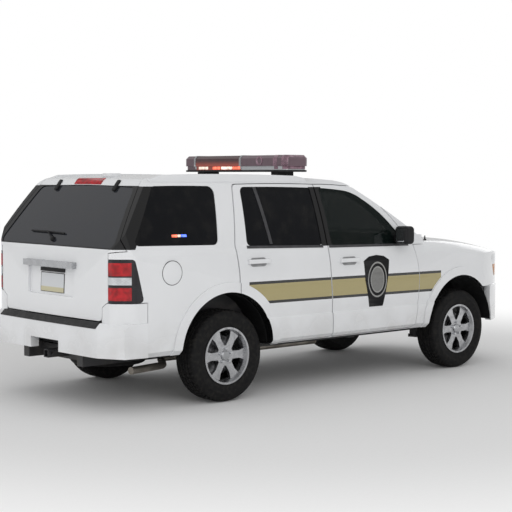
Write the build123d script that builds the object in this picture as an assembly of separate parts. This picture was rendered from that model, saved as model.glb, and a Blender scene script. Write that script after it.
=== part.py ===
"""Police SUV: a five-door body on a ladder frame, with opening doors, hood and liftgate, steered
front wheels and a roof lightbar.  Millimetres; +X forward, +Y left, +Z up, ground at Z = 0."""
import os

from build123d import *

# Overall layout
LENGTH = 4912.0
HALF = LENGTH / 2
WHEELBASE = 2888.0
FRONT_OVERHANG = 880.0
FRONT_AXLE = HALF - FRONT_OVERHANG
REAR_AXLE = FRONT_AXLE - WHEELBASE
TRACK_FRONT = 1547.0
TRACK_REAR = 1570.0
BODY_HALF_WIDTH = 936.0
REACH = 1400.0  # half length of a cutting prism that passes right through the body

# Body outline
SILL_BOTTOM = 425.0
BELT = 1240.0
ROOF_TOP = 1812.0
ROOF_SHOULDER_Z = 1788.0
HEADER_X, HEADER_Z = 120.0, 1765.0
COWL_X, COWL_Z = 1000.0, 1258.0
COWL_FRONT = COWL_X + 18.0
ROOF_REAR = -2000.0
TAIL_X = -2402.0
NOSE_X = 2418.0
NOSE_LEAN = 46.0
HOOD_EDGE_X = 2230.0  # where the hood starts to roll over to the grille

# Walls and gaps
PANEL_GAP = 6.0
DOOR_REAR_GAP = 12.0  # a door's rear edge swings past its neighbour
SEAT_GAP = 0.3
DOOR_LOW, DOOR_UP = 85.0, 38.0
RING_LOW, RING_UP = 150.0, 80.0
DOOR_FLANGE = 62.0
WINDOW_FRAME = 46.0
GLASS_DEPTH, GLASS_THICK = 6.0, 5.0
GLASS_SET = 10.0  # the liftgate's window ends this far behind the roof's gap line
FENDER_WALL = 24.0
HOOD_WALL = 26.0
GATE_LOW, GATE_UP = 75.0, 40.0
ROOF_WALL = 38.0
LAMP_DEPTH = 60.0
GRILLE_DEPTH = 50.0
GRILLE_FRAME, GRILLE_BAR = 24.0, 18.0
GRILLE_SLOTS = 4
LEAST_FILLET = 10.0
NEARLY_STRAIGHT = 0.06  # sine of a corner's turn, under which an inset outline keeps the corner's place
OPEN_DEPTH = 50.0  # an inner volume runs this far below the body, so that the shells are open underneath

# Wheels, arches and steering
TYRE_R = 370.0
TYRE_HALF = 118.0
BEAD_HALF = 98.0
RIM_SEAT_R = 214.0
RIM_FLANGE_R = 230.0
RIM_HALF = 108.0
BARREL_R = 196.0
SPOKES = 6
SPOKE_TURN = 0.0  # the first spoke's angle from straight ahead
SPOKE_FACE = 78.0  # outboard face of the spokes, from the wheel's middle plane
SPOKE_DEPTH = 34.0
HUB_R = 82.0
SPINDLE_R = 34.0
SPINDLE_CLEAR = 0.4
ARCH_R = 476.0
ARCH_Z = 408.0
ARCH_BACK = 22.0  # the arch centre lies this far behind the wheel centre
FLARE_WIDTH = 80.0
FLARE_PROUD = 14.0
TUB_INNER_Y = 640.0
TUB_WALL = 14.0
KINGPIN_Y = 700.0

# Chassis heights and rails
RAIL_IN, RAIL_OUT = 345.0, 425.0
RAIL_BOTTOM, RAIL_TOP = 330.0, 450.0
FLOOR_BOTTOM = RAIL_TOP + SEAT_GAP
FLOOR_TOP = FLOOR_BOTTOM + 28.0

# Bumpers
BUMPER_INNER_X = 2380.0  # flat inner face that bears on the frame's ends
REAR_BUMPER_TOP = 694.0
REAR_BUMPER_BOTTOM = 432.0
REAR_BUMPER_FRONT = -2128.0
CORNER_TOP = 844.0  # the rear bumper's corners rise to the taillamps
STEP_SLOPE = 38.0
NOTCH_HALF, NOTCH_TOP = 200.0, 520.0
FRONT_BUMPER_TOP = 760.0
FRONT_BUMPER_BOTTOM = 420.0
FRONT_BUMPER_INNER = 2330.0


def outline(points, plane, fillets=None):
    """A closed face on a plane from (u, v, bulge) points, anticlockwise; bulge bows a segment outwards."""
    edges = []
    for (u0, v0, bulge, *_), (u1, v1, *_rest) in zip(points, points[1:] + points[:1]):
        start, end = Vector(u0, v0), Vector(u1, v1)
        if bulge:
            run = (end - start).normalized()
            middle = (start + end) * 0.5 + Vector(run.Y, -run.X) * bulge
            edges.append(ThreePointArc(start, middle, end))
        else:
            edges.append(Line(start, end))
    face = Sketch() + make_face(edges)
    for index, radius in (fillets or {}).items():
        corner = Vector(*points[index][:2])
        nearest = min(face.vertices(), key=lambda v: (Vector(v.X, v.Y) - corner).length)
        face = fillet(nearest, radius)
    return plane * face


def mirrored_points(half, axis, close_bulge=0.0, close_wall="open"):
    """Adds the mirror image of half an outline; axis is the coordinate that changes sign."""
    flip = (lambda p: (-p[0], p[1])) if axis == 0 else (lambda p: (p[0], -p[1]))
    other = []
    for i in range(len(half) - 1, -1, -1):
        bulge, wall = half[i - 1][2:4] if i else (close_bulge, close_wall)
        other.append((*flip(half[i]), bulge, wall))
    return list(half) + other


def inset_points(points, walls):
    """Moves each segment of an anticlockwise outline inwards by the wall that its fourth column names."""
    count = len(points)
    lines = []
    for i in range(count):
        (u0, v0, _, wall), (u1, v1, *_rest) = points[i], points[(i + 1) % count]
        run = Vector(u1 - u0, v1 - v0).normalized()
        inward = Vector(-run.Y, run.X)
        lines.append((Vector(u0, v0) + inward * walls[wall], run, inward * walls[wall]))
    moved = []
    for i in range(count):
        (p, d, before), (q, e, after) = lines[i - 1], lines[i]
        cross = d.X * e.Y - d.Y * e.X
        if abs(cross) < NEARLY_STRAIGHT:
            corner = Vector(*points[i][:2]) + (before + after) * 0.5
        else:
            t = ((q.X - p.X) * e.Y - (q.Y - p.Y) * e.X) / cross
            corner = p + d * t
        moved.append((corner.X, corner.Y, points[i][2], points[i][3]))
    return moved


def grown(points, amount):
    """A plain (u, v, bulge) outline moved outwards by amount on every segment."""
    moved = inset_points([(u, v, bulge, "all") for u, v, bulge in points], {"all": -amount})
    return [(u, v, bulge) for u, v, bulge, _ in moved]


def prism_y(points, y0, y1, fillets=None):
    """A side-view (X, Z) outline pushed through from y0 down to y1, with y1 below y0."""
    return extrude(outline(points, Plane.XZ.offset(-y0), fillets), amount=y0 - y1)


def prism_x(points, x0, x1, fillets=None):
    """A rear-view (Y, Z) outline pushed through from x0 to x1."""
    return extrude(outline(points, Plane.YZ.offset(x0), fillets), amount=x1 - x0)


def prism_z(points, z0, z1, fillets=None):
    """A plan-view (X, Y) outline pushed through from z0 to z1."""
    return extrude(outline(points, Plane.XY.offset(z0), fillets), amount=z1 - z0)


def block(x0, x1, y0, y1, z0, z1):
    """A box between two corners."""
    return Pos((x0 + x1) / 2, (y0 + y1) / 2, (z0 + z1) / 2) * Box(x1 - x0, y1 - y0, z1 - z0)


def tube_y(x, z, radius, y0, y1):
    """A cylinder along Y."""
    return Pos(x, (y0 + y1) / 2, z) * Rot(90, 0, 0) * Cylinder(radius, abs(y1 - y0))


def symmetric(right):
    """The right-hand shape and its mirror image on the left, as solids of one node."""
    return Compound(children=[*right.solids(), *mirror(right, about=Plane.XZ).solids()])


# Columns: x, z, bulge to the next point, wall of that segment
SIDE = [
    (TAIL_X + 6, SILL_BOTTOM, 0.0, "open"),
    (NOSE_X, SILL_BOTTOM, 0.0, "low"),
    (NOSE_X, 800.0, 8.0, "low"),
    (NOSE_X - NOSE_LEAN, 985.0, 16.0, "low"),
    (HOOD_EDGE_X, 1118.0, 0.0, "low"),
    (HOOD_EDGE_X, COWL_Z + 20, 0.0, "up"),
    (COWL_X - 35, COWL_Z + 20, 12.0, "up"),
    (HEADER_X, HEADER_Z, 40.0, "up"),
    (ROOF_REAR, 1782.0, 8.0, "up"),
    (-2374.0, BELT + 4, 5.0, "low"),
    (TAIL_X, 720.0, 0.0, "low"),
]
SIDE_FILLETS = {7: 420.0, 8: 70.0, 9: 60.0}
# Columns: y, z, bulge to the next point, wall of that segment
SECTION = [
    (882.0, SILL_BOTTOM, 0.0, "low"),
    (926.0, 468.0, 3.0, "low"),
    (938.0, 636.0, 0.0, "low"),
    (929.0, 650.0, 6.0, "low"),
    (BODY_HALF_WIDTH, 905.0, 9.0, "low"),
    (912.0, 1196.0, 0.0, "low"),
    (897.0, BELT, 11.0, "up"),
    (752.0, 1742.0, 0.0, "up"),
    (664.0, ROOF_SHOULDER_Z, ROOF_TOP - ROOF_SHOULDER_Z, "up"),
]
SECTION_FILLETS = {7: 60.0, 8: 60.0, 9: 60.0, 10: 60.0}
# Columns: x, y, bulge to the next point, wall of that segment
PLAN = [
    (-2372.0, -800.0, 0.0, "low"),
    (-2240.0, -916.0, 4.0, "low"),
    (-1200.0, -938.0, 2.0, "low"),
    (900.0, -938.0, 5.0, "low"),
    (1900.0, -912.0, 30.0, "low"),
    (2330.0, -718.0, 34.0, "low"),
    (NOSE_X, -300.0, 8.0, "low"),
]
PLAN_FILLETS = {0: 90.0, 1: 120.0, 12: 120.0, 13: 90.0}
REAR_BOW = 26.0

# The hood and fender tops: a crowned section swept round a level axis far below the car
HOOD_SWEEP_X, HOOD_SWEEP_Z = 1032.0, -3657.0
HOOD_SWEEP_R = 4919.0
HOOD_SWEEP_DEG = 20.0
# Columns: y, drop below the crown, bulge to the next point, wall of that segment
CROWN = [
    (1010.0, 1000.0, 0.0, "open"),
    (1000.0, 330.0, 0.0, "low"),
    (914.0, 110.0, 14.0, "low"),
    (800.0, 40.0, 5.0, "low"),
    (640.0, 18.0, 14.0, "low"),
]


def inset_fillets(fillets, wall):
    """Corner radii of an outline that is pulled in by wall."""
    return {corner: max(radius - wall, LEAST_FILLET) for corner, radius in fillets.items()}


def base_volume(low, up):
    """Side, cross-section and plan outlines met in one solid, pulled in by low and up walls."""
    walls = {"low": low, "up": up, "open": -OPEN_DEPTH if low > 0 else 0.0}
    side = outline(inset_points(SIDE, walls), Plane.XZ, inset_fillets(SIDE_FILLETS, up))
    section_points = inset_points(mirrored_points(SECTION, 0), walls)
    section = outline(section_points, Plane.YZ, inset_fillets(SECTION_FILLETS, up))
    plan_points = inset_points(mirrored_points(PLAN, 1, REAR_BOW, "low"), walls)
    plan = outline(plan_points, Plane.XY, inset_fillets(PLAN_FILLETS, low))
    volume = extrude(side, BODY_HALF_WIDTH * 1.2, both=True)
    volume &= extrude(section, HALF * 1.1, both=True)
    return volume & extrude(plan, ROOF_TOP * 1.1, both=True)


def flank_volume(low, up):
    """The space between the two body sides, pulled in like them but not ended fore, aft or above the doors."""
    walls = {"low": low, "up": up, "open": -OPEN_DEPTH}
    section_points = inset_points(mirrored_points(SECTION, 0), walls)
    section = outline(section_points, Plane.YZ, inset_fillets(SECTION_FILLETS, up))
    return extrude(section, HALF * 1.1, both=True)


def cabin_volume(low, up):
    """The body behind the hood, pulled in by low below the belt and by up above it."""
    return base_volume(low, up) & block(-HALF, COWL_FRONT, -REACH, REACH, 0, ROOF_TOP + 100)


def nose_volume(inset):
    """The body ahead of the cowl under the crowned hood, pulled in by inset."""
    walls = {"low": inset, "open": -OPEN_DEPTH}
    top = HOOD_SWEEP_Z + HOOD_SWEEP_R
    half = [(y, top - drop, bulge, wall) for y, drop, bulge, wall in CROWN]
    face = outline(inset_points(mirrored_points(half, 0), walls), Plane.YZ.offset(HOOD_SWEEP_X))
    axis = Axis((HOOD_SWEEP_X, 0, HOOD_SWEEP_Z), (0, 1, 0))
    crown = revolve(face, axis, HOOD_SWEEP_DEG) + revolve(face, axis, -1.0)
    ahead = block(COWL_FRONT, HALF, -REACH, REACH, 0, ROOF_TOP)
    return base_volume(inset, inset) & crown & ahead


# Doors, seen from the side: x, z, bulge to the next point
SILL_GAP_Z = 436.0
DOOR_TOP = 1734.0
B_LOW, B_TOP = -146.0, -236.0
FRONT_DOOR = [
    (B_LOW, SILL_GAP_Z, 0.0),
    (900.0, SILL_GAP_Z, 6.0),
    (944.0, 900.0, 10.0),
    (866.0, 1204.0, 0.0),
    (640.0, 1440.0, 14.0),
    (330.0, 1668.0, 14.0),
    (110.0, DOOR_TOP - 12, 4.0),
    (B_TOP, DOOR_TOP, 0.0),
]
FRONT_DOOR_FILLETS = {0: 30.0, 1: 60.0, 3: 40.0}
REAR_DOOR = [
    (-1215.0, SILL_GAP_Z, 0.0),
    (B_LOW - DOOR_REAR_GAP, SILL_GAP_Z, 0.0),
    (B_TOP - DOOR_REAR_GAP, DOOR_TOP, 6.0),
    (-1150.0, DOOR_TOP, 0.0),
    (-1232.0, 1255.0, 0.0),
    (-1212.0, 1000.0, 0.0),
]
REAR_DOOR_FILLETS = {1: 30.0, 3: 40.0}
FRONT_WINDOW = [
    (-200.0 + WINDOW_FRAME, 1218.0, 0.0),
    (800.0, 1204.0, 0.0),
    (606.0, 1398.0, 12.0),
    (320.0, 1606.0, 12.0),
    (110.0, 1682.0, 3.0),
    (B_TOP + WINDOW_FRAME, 1706.0, 0.0),
]
FRONT_WINDOW_FILLETS = {0: 24.0, 1: 14.0, 5: 24.0}
REAR_WINDOW = [
    (-1112.0, 1243.0, 0.0),
    (-210.0 - DOOR_REAR_GAP - WINDOW_FRAME, 1222.0, 0.0),
    (B_TOP - DOOR_REAR_GAP - WINDOW_FRAME, 1708.0, 4.0),
    (-1082.0, 1716.0, 0.0),
]
REAR_WINDOW_FILLETS = {0: 40.0, 1: 24.0, 2: 24.0, 3: 50.0}
QUARTER_WINDOW = [
    (-2236.0, 1276.0, 0.0),
    (-1412.0, 1260.0, 0.0),
    (-1352.0, 1722.0, 4.0),
    (-1966.0, 1724.0, 0.0),
]
QUARTER_WINDOW_FILLETS = {0: 30.0, 1: 50.0, 2: 60.0, 3: 40.0}

# Windshield, liftgate and its window, seen from the rear: y, z, bulge to the next point
WINDSHIELD = [(-806.0, 1268.0, 0.0), (806.0, 1268.0, 0.0), (640.0, 1722.0, 12.0), (-640.0, 1722.0, 0.0)]
WINDSHIELD_FILLETS = {0: 50.0, 1: 50.0, 2: 70.0, 3: 70.0}
GATE_BOTTOM = 706.0
GATE_LOW_HALF = 684.0  # half width between the rear bumper's corners
GATE_HALF = 757.0
GATE_WING = 872.0  # half width of the liftgate over the belt
GATE_TOP_HALF = 676.0
GATE_WRAP = 70.0  # depth of the liftgate, from its rear face
GATE_LIP, GATE_STEP = 16.0, 18.0  # behind a lip of this depth, its edges stand in by this step
GATE = [
    (-GATE_LOW_HALF, GATE_BOTTOM, 0.0),
    (GATE_LOW_HALF, GATE_BOTTOM, 0.0),
    (GATE_LOW_HALF, 812.0, 0.0),
    (GATE_HALF, 858.0, 0.0),
    (GATE_HALF, 1226.0, 0.0),
    (GATE_WING, 1240.0, 0.0),
    (GATE_TOP_HALF, 1774.0, 0.0),
    (GATE_TOP_HALF, 1900.0, 0.0),
    (-GATE_TOP_HALF, 1900.0, 0.0),
    (-GATE_TOP_HALF, 1774.0, 0.0),
    (-GATE_WING, 1240.0, 0.0),
    (-GATE_HALF, 1226.0, 0.0),
    (-GATE_HALF, 858.0, 0.0),
    (-GATE_LOW_HALF, 812.0, 0.0),
]
GATE_FILLETS = {0: 40.0, 1: 40.0}
GATE_FRONT = ROOF_REAR + 12.0  # the roof's gap line, where the liftgate hinges
GATE_WINDOW = [(-812.0, 1258.0, 0.0), (812.0, 1258.0, 0.0), (650.0, 1716.0, 14.0), (-650.0, 1716.0, 0.0)]
GATE_WINDOW_FILLETS = {0: 40.0, 1: 40.0, 2: 60.0, 3: 60.0}
PLATE_RECESS = [(-330.0, 862.0, 0.0), (330.0, 862.0, 0.0), (330.0, 1080.0, 0.0), (-330.0, 1080.0, 0.0)]
PLATE_RECESS_FILLETS = {0: 24.0, 1: 24.0}
PLATE_RECESS_DEPTH = 22.0

# Lamps, seen from the side: x, z, bulge
TAILLAMP = [(-HALF, 850.0, 0.0), (-2155.0, 850.0, 0.0), (-2236.0, 1178.0, 0.0), (-HALF, 1178.0, 0.0)]
TAILLAMP_FILLETS = {1: 30.0, 2: 30.0}
TAILLAMP_INNER_Y = GATE_HALF + PANEL_GAP
HEADLAMP = [(2186.0, 836.0, 0.0), (HALF, 836.0, 0.0), (HALF, 1046.0, 0.0), (2062.0, 1058.0, 0.0)]
HEADLAMP_FILLETS = {0: 30.0, 3: 30.0}
HEADLAMP_INNER_Y = 486.0

# The hood, in plan: x, y, bulge
HOOD_REAR = COWL_FRONT + PANEL_GAP
HOOD_REAR_HALF, HOOD_FRONT_HALF = 776.0, 704.0
HOOD_LIP_Z = 1012.0
HOOD = [
    (HOOD_REAR, -HOOD_REAR_HALF, 6.0),
    (HALF, -HOOD_FRONT_HALF, 0.0),
    (HALF, HOOD_FRONT_HALF, 6.0),
    (HOOD_REAR, HOOD_REAR_HALF, 0.0),
]
FENDER_REAR = 860.0
FENDER_TOP_REAR = 1196.0
ROOF_HALF = 640.0
COWL_REAR, COWL_BOTTOM = 962.0, 1150.0
# Leaves that hold the hood at the cowl and the liftgate at the roof
HINGE_HALF = 32.0
HOOD_HINGE_Y, HOOD_HINGE_Z = 560.0, (1224.0, 1242.0)
GATE_HINGE_Y, GATE_HINGE_Z = 420.0, (1750.0, 1770.0)

# Whole-body volumes, each pulled in by the depth that its name gives
ARCHES = {"front": FRONT_AXLE - ARCH_BACK, "rear": REAR_AXLE - ARCH_BACK}
SKIN_CABIN = cabin_volume(0, 0)
SKIN_NOSE = nose_volume(0)
GLASS_OUT = cabin_volume(GLASS_DEPTH, GLASS_DEPTH)
GLASS_IN = cabin_volume(GLASS_DEPTH + GLASS_THICK, GLASS_DEPTH + GLASS_THICK)
DOOR_IN = flank_volume(DOOR_LOW, DOOR_UP)
DOOR_ROOM = flank_volume(DOOR_LOW + PANEL_GAP, DOOR_UP + PANEL_GAP)
RING_IN = cabin_volume(RING_LOW, RING_UP)
TRIM_IN = cabin_volume(RING_LOW + SEAT_GAP, RING_UP + SEAT_GAP)
GATE_IN = cabin_volume(GATE_LOW, GATE_UP)
GATE_ROOM = cabin_volume(GATE_LOW + PANEL_GAP, GATE_UP + PANEL_GAP)
FENDER_SEAT = cabin_volume(FENDER_WALL + SEAT_GAP, FENDER_WALL + SEAT_GAP)
FENDER_IN = cabin_volume(FENDER_WALL, FENDER_WALL)
PROUD = cabin_volume(-FLARE_PROUD, 0)
NOSE_PROUD = nose_volume(-FLARE_PROUD)
NOSE_IN = nose_volume(FENDER_WALL)
NOSE_HOOD_IN = nose_volume(HOOD_WALL)
CLEAR_SKIN = cabin_volume(-SEAT_GAP, -SEAT_GAP)


def arch_cut(x, radius):
    """The round wheel opening on both sides."""
    right = tube_y(x, ARCH_Z, radius, -REACH, -TUB_INNER_Y)
    return right + mirror(right, about=Plane.XZ)


def flare(x, volume):
    """The raised band round a wheel opening, cut from the proud body volume."""
    ring = tube_y(x, ARCH_Z, ARCH_R + FLARE_WIDTH, -REACH, REACH)
    ring &= block(-HALF, HALF, -REACH, REACH, SILL_BOTTOM, REACH)
    outer = block(-HALF, HALF, -REACH, -BODY_HALF_WIDTH + 60, 0, REACH)
    outer += mirror(outer, about=Plane.XZ)
    return ring & volume & outer


REAR_ARCH = arch_cut(ARCHES["rear"], ARCH_R)
FRONT_ARCH = arch_cut(ARCHES["front"], ARCH_R)
BODY_CABIN = SKIN_CABIN + flare(ARCHES["rear"], PROUD) - REAR_ARCH
BODY_NOSE = SKIN_NOSE + flare(ARCHES["front"], NOSE_PROUD) - FRONT_ARCH
RIGHT_HALF = block(-HALF, HALF, -REACH, 0, 0, REACH * 2)


def door_cut(points, fillets):
    """The room that a door takes out of the body side: its outline with a gap, as deep as the door."""
    return prism_y(grown(points, PANEL_GAP), 0, -REACH, fillets) - DOOR_ROOM


def door_opening(points, fillets):
    """The clear way through the body side behind a door."""
    return prism_y(grown(points, -DOOR_FLANGE), 0, -REACH, fillets)


# Hinge leaves, which stand on the pillar behind a door and fill its gap at two heights
HINGE_HEIGHTS = (560.0, 1060.0)
HINGE_TALL = 60.0
HINGE_OUT, HINGE_IN = -898.0, -838.0
# Columns: thickness of the leaf, x range in which it lies
HINGES = {"front": (PANEL_GAP, 860.0, 960.0), "rear": (3.5, -300.0, -100.0)}


def hinge_leaves(points, fillets, door):
    """The right-hand hinge leaves against a door's front edge."""
    thick, x0, x1 = HINGES[door]
    gap = prism_y(grown(points, thick), HINGE_IN, HINGE_OUT, fillets)
    gap -= prism_y(grown(points, SEAT_GAP), 0, -REACH, fillets)
    heights = [block(x0, x1, HINGE_OUT, HINGE_IN, z, z + HINGE_TALL) for z in HINGE_HEIGHTS]
    return gap & (heights[0] + heights[1])


REAR_DOOR_ROOM = [(x - (DOOR_REAR_GAP - PANEL_GAP) * (x < -1100), z, b) for x, z, b in REAR_DOOR]
HANDLE_L, HANDLE_H, HANDLE_PROUD = 232.0, 34.0, 36.0
HANDLE_SINK = 12.0  # the side's lean at handle height, from its widest point
# Columns: x of the handle's rear end, z of its middle
HANDLES = {"front": (-82.0, 1086.0), "rear": (-1130.0, 1118.0)}


def handle(door):
    """A pull handle that stands off the door on two ends."""
    x, z = HANDLES[door]
    face = -BODY_HALF_WIDTH + HANDLE_SINK
    bar = block(x, x + HANDLE_L, face - HANDLE_PROUD, face + 30, z - HANDLE_H / 2, z + HANDLE_H / 2)
    bar = fillet(bar.edges().filter_by(Axis.Z), 14.0)
    grip = block(x + 40, x + HANDLE_L - 40, face - HANDLE_PROUD + 15, face + 40, 0, REACH)
    return bar - grip


def door(points, fillets, window, window_fillets, grip):
    """A right-hand door as thick as the body's door zone, with its window cut."""
    panel = (BODY_CABIN - DOOR_IN) & prism_y(points, 0, -REACH, fillets)
    panel -= prism_y(window, 0, -REACH, window_fillets)
    return panel + (handle(grip) - DOOR_IN)


def pane(window, window_fillets):
    """A right-hand sheet of glass that fills a side window."""
    return (GLASS_OUT - GLASS_IN) & prism_y(grown(window, -SEAT_GAP), 0, -REACH, window_fillets)


def gate_region(gap):
    """The liftgate's room: its rear outline, behind the roof's gap line and no deeper than its wings."""
    room = prism_x(grown(GATE, gap), -HALF, GATE_FRONT + gap, GATE_FILLETS)
    return room - Pos(GATE_WRAP + gap, 0, 0) * SKIN_CABIN


def gate_body():
    """The liftgate's own room: full width at its lip and narrower behind it, so that its edges swing clear."""
    lip = gate_region(0) - Pos(GATE_LIP, 0, 0) * SKIN_CABIN
    return lip + (gate_region(0) & prism_x(grown(GATE, -GATE_STEP), -HALF, GATE_FRONT))


def taillamp_region(gap):
    """The right lamp's room at the rear corner."""
    side = prism_y(grown(TAILLAMP, gap), 0, -REACH, TAILLAMP_FILLETS)
    return side & block(-HALF, 0, -REACH, -TAILLAMP_INNER_Y + gap, 0, REACH)


def headlamp_region(gap):
    """The right lamp's room at the front corner."""
    side = prism_y(grown(HEADLAMP, gap), 0, -REACH, HEADLAMP_FILLETS)
    return side & block(0, HALF, -REACH, -HEADLAMP_INNER_Y + gap, 0, REACH)


def body_side():
    """The right body side: quarter panel, pillars, sill and roof rail, open for doors and glass."""
    side = (BODY_CABIN - RING_IN) & RIGHT_HALF
    side -= [
        door_cut(FRONT_DOOR, FRONT_DOOR_FILLETS),
        door_cut(REAR_DOOR_ROOM, REAR_DOOR_FILLETS),
        door_opening(FRONT_DOOR, {}),
        door_opening(REAR_DOOR, {}),
        prism_y(QUARTER_WINDOW, 0, -REACH, QUARTER_WINDOW_FILLETS),
        prism_x(WINDSHIELD, 0, HALF, WINDSHIELD_FILLETS),
        gate_region(PANEL_GAP) - GATE_ROOM,
        prism_x(grown(GATE, -DOOR_FLANGE), -HALF, GATE_FRONT),
        block(-HALF, HALF, -ROOF_HALF, 0, BELT, REACH * 2),
        block(-HALF, HALF, -GATE_HALF, 0, 0, BELT),
        taillamp_region(SEAT_GAP),
        block(-HALF, REAR_BUMPER_FRONT + PANEL_GAP, -REACH, 0, 0, CORNER_TOP + PANEL_GAP),
        block(FENDER_REAR - PANEL_GAP, HALF, -REACH, 0, 0, FENDER_TOP_REAR) - FENDER_SEAT,
    ]
    side += hinge_leaves(FRONT_DOOR, FRONT_DOOR_FILLETS, "front")
    side += hinge_leaves(REAR_DOOR, REAR_DOOR_FILLETS, "rear")
    return max(side.solids(), key=lambda s: s.volume)


def fender():
    """The right front fender, from the door gap to the bumper and lamp."""
    rear = (SKIN_CABIN - FENDER_IN) & block(FENDER_REAR, HALF, -REACH, 0, 0, FENDER_TOP_REAR - PANEL_GAP)
    rear -= block(0, HALF, -HOOD_REAR_HALF, 0, 0, REACH)
    front = (BODY_NOSE - NOSE_IN) & RIGHT_HALF
    shell = rear + front
    shell -= [
        prism_y(grown(FRONT_DOOR, PANEL_GAP), 0, -REACH, FRONT_DOOR_FILLETS),
        prism_z(grown(HOOD, PANEL_GAP), 600, REACH),
        headlamp_region(SEAT_GAP),
        block(ARCHES["front"] + 200, HALF, -REACH, 0, 0, FRONT_BUMPER_TOP + SEAT_GAP),
        block(2000, HALF, -HEADLAMP_INNER_Y - 40, 0, 0, REACH),
    ]
    return max(shell.solids(), key=lambda s: s.volume)


def hood():
    """The hood with its turned-down front lip."""
    skin = (SKIN_NOSE - NOSE_HOOD_IN) & prism_z(HOOD, HOOD_LIP_Z, REACH)
    lamp = headlamp_region(PANEL_GAP)
    skin -= lamp + mirror(lamp, about=Plane.XZ)
    return max(skin.solids(), key=lambda s: s.volume)


def liftgate():
    """The liftgate frame and lower panel, with its window cut and a recess for the plate."""
    gate = (SKIN_CABIN - GATE_IN) & gate_body()
    recess = prism_x(PLATE_RECESS, -HALF, 0, PLATE_RECESS_FILLETS) - Pos(PLATE_RECESS_DEPTH, 0, 0) * SKIN_CABIN
    gate -= [prism_x(GATE_WINDOW, -HALF, GATE_FRONT - GLASS_SET, GATE_WINDOW_FILLETS), recess]
    return max(gate.solids(), key=lambda s: s.volume)


def roof_panel():
    """The roof between the two side rails, from the windshield header to the liftgate."""
    roof = (SKIN_CABIN - cabin_volume(RING_LOW, ROOF_WALL)) & block(
        -HALF, COWL_X, -ROOF_HALF + SEAT_GAP, ROOF_HALF - SEAT_GAP, BELT, REACH * 2)
    roof -= prism_x(WINDSHIELD, 0, HALF, WINDSHIELD_FILLETS)
    roof -= gate_region(PANEL_GAP)
    for y in (-GATE_HINGE_Y, GATE_HINGE_Y):
        x0, x1 = GATE_FRONT + SEAT_GAP, GATE_FRONT + 2 * PANEL_GAP
        roof += block(x0, x1, y - HINGE_HALF, y + HINGE_HALF, *GATE_HINGE_Z)
    return max(roof.solids(), key=lambda s: s.volume)


def windshield():
    """The windshield glass."""
    return (GLASS_OUT - GLASS_IN) & prism_x(grown(WINDSHIELD, -SEAT_GAP), 0, HALF, WINDSHIELD_FILLETS)


def liftgate_glass():
    """The liftgate's glass."""
    region = prism_x(grown(GATE_WINDOW, -SEAT_GAP), -HALF, GATE_FRONT - GLASS_SET, GATE_WINDOW_FILLETS)
    return (GLASS_OUT - GLASS_IN) & region


def cowl_panel():
    """The dark panel under the windshield's lower edge, with the hood's two hinge leaves."""
    depth = GLASS_DEPTH + GLASS_THICK + SEAT_GAP
    panel = cabin_volume(depth, depth) & block(
        COWL_REAR, COWL_FRONT, -ROOF_HALF + SEAT_GAP, ROOF_HALF - SEAT_GAP, COWL_BOTTOM, REACH)
    for y in (-HOOD_HINGE_Y, HOOD_HINGE_Y):
        x0, x1 = COWL_FRONT - PANEL_GAP, HOOD_REAR - SEAT_GAP
        panel += block(x0, x1, y - HINGE_HALF, y + HINGE_HALF, *HOOD_HINGE_Z)
    return panel


# Bumpers in plan, right half from back to front or front to back: x, y, bulge, wall
REAR_BUMPER = [(-2440.0, -700.0, 0.0, "low"), (-2330.0, -908.0, 0.0, "low"),
               (REAR_BUMPER_FRONT, -930.0, 0.0, "low")]
FRONT_BUMPER = [(1990.0, -922.0, 10.0, "low"), (2232.0, -802.0, 12.0, "low"), (2412.0, -520.0, 8.0, "low")]
REAR_BUMPER_BOW, FRONT_BUMPER_BOW = HALF - 2440.0, HALF - 2412.0
BUMPER_POCKET_HALF = 690.0
BUMPER_SIDE_X, BUMPER_SIDE_Y = -2300.0, 880.0
FRONT_POCKET_HALF = 640.0
# The hollow behind the front bumper's ends, in plan: x, y, bulge
FRONT_ROOM = [(1980.0, -860.0, 0.0), (2200.0, -765.0, 0.0), (2200.0, 765.0, 0.0), (1980.0, 860.0, 0.0)]
SLOT_HALF, SLOT_Z0, SLOT_Z1 = 480.0, 480.0, 590.0


def rear_bumper():
    """The rear bumper: a hooked shell with a sloped step, raised corners and a notch for the receiver."""
    points = mirrored_points(REAR_BUMPER, 1, REAR_BUMPER_BOW)
    shape = prism_z([p[:3] for p in points], REAR_BUMPER_BOTTOM, REAR_BUMPER_TOP, {0: 90.0, 5: 90.0})
    edges = shape.edges().filter_by(Plane.XY).group_by(Axis.Z)
    shape = chamfer([e for e in edges[-1] if e.center().X < -2330], STEP_SLOPE)
    pocket = block(-BUMPER_INNER_X, 0, -BUMPER_POCKET_HALF, BUMPER_POCKET_HALF, 0, REACH)
    side_room = block(BUMPER_SIDE_X, 0, -BUMPER_SIDE_Y, BUMPER_SIDE_Y, 0, REACH)
    notch = block(-HALF, 0, -NOTCH_HALF, NOTCH_HALF, 0, NOTCH_TOP)
    corner = (SKIN_CABIN - GATE_IN) & block(
        -HALF, REAR_BUMPER_FRONT, -REACH, -GATE_LOW_HALF, REAR_BUMPER_TOP - STEP_SLOPE, CORNER_TOP)
    corner -= gate_region(PANEL_GAP)
    shape -= [pocket, side_room, notch]
    shape += [corner, mirror(corner, about=Plane.XZ)]
    return max(shape.solids(), key=lambda s: s.volume)


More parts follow.
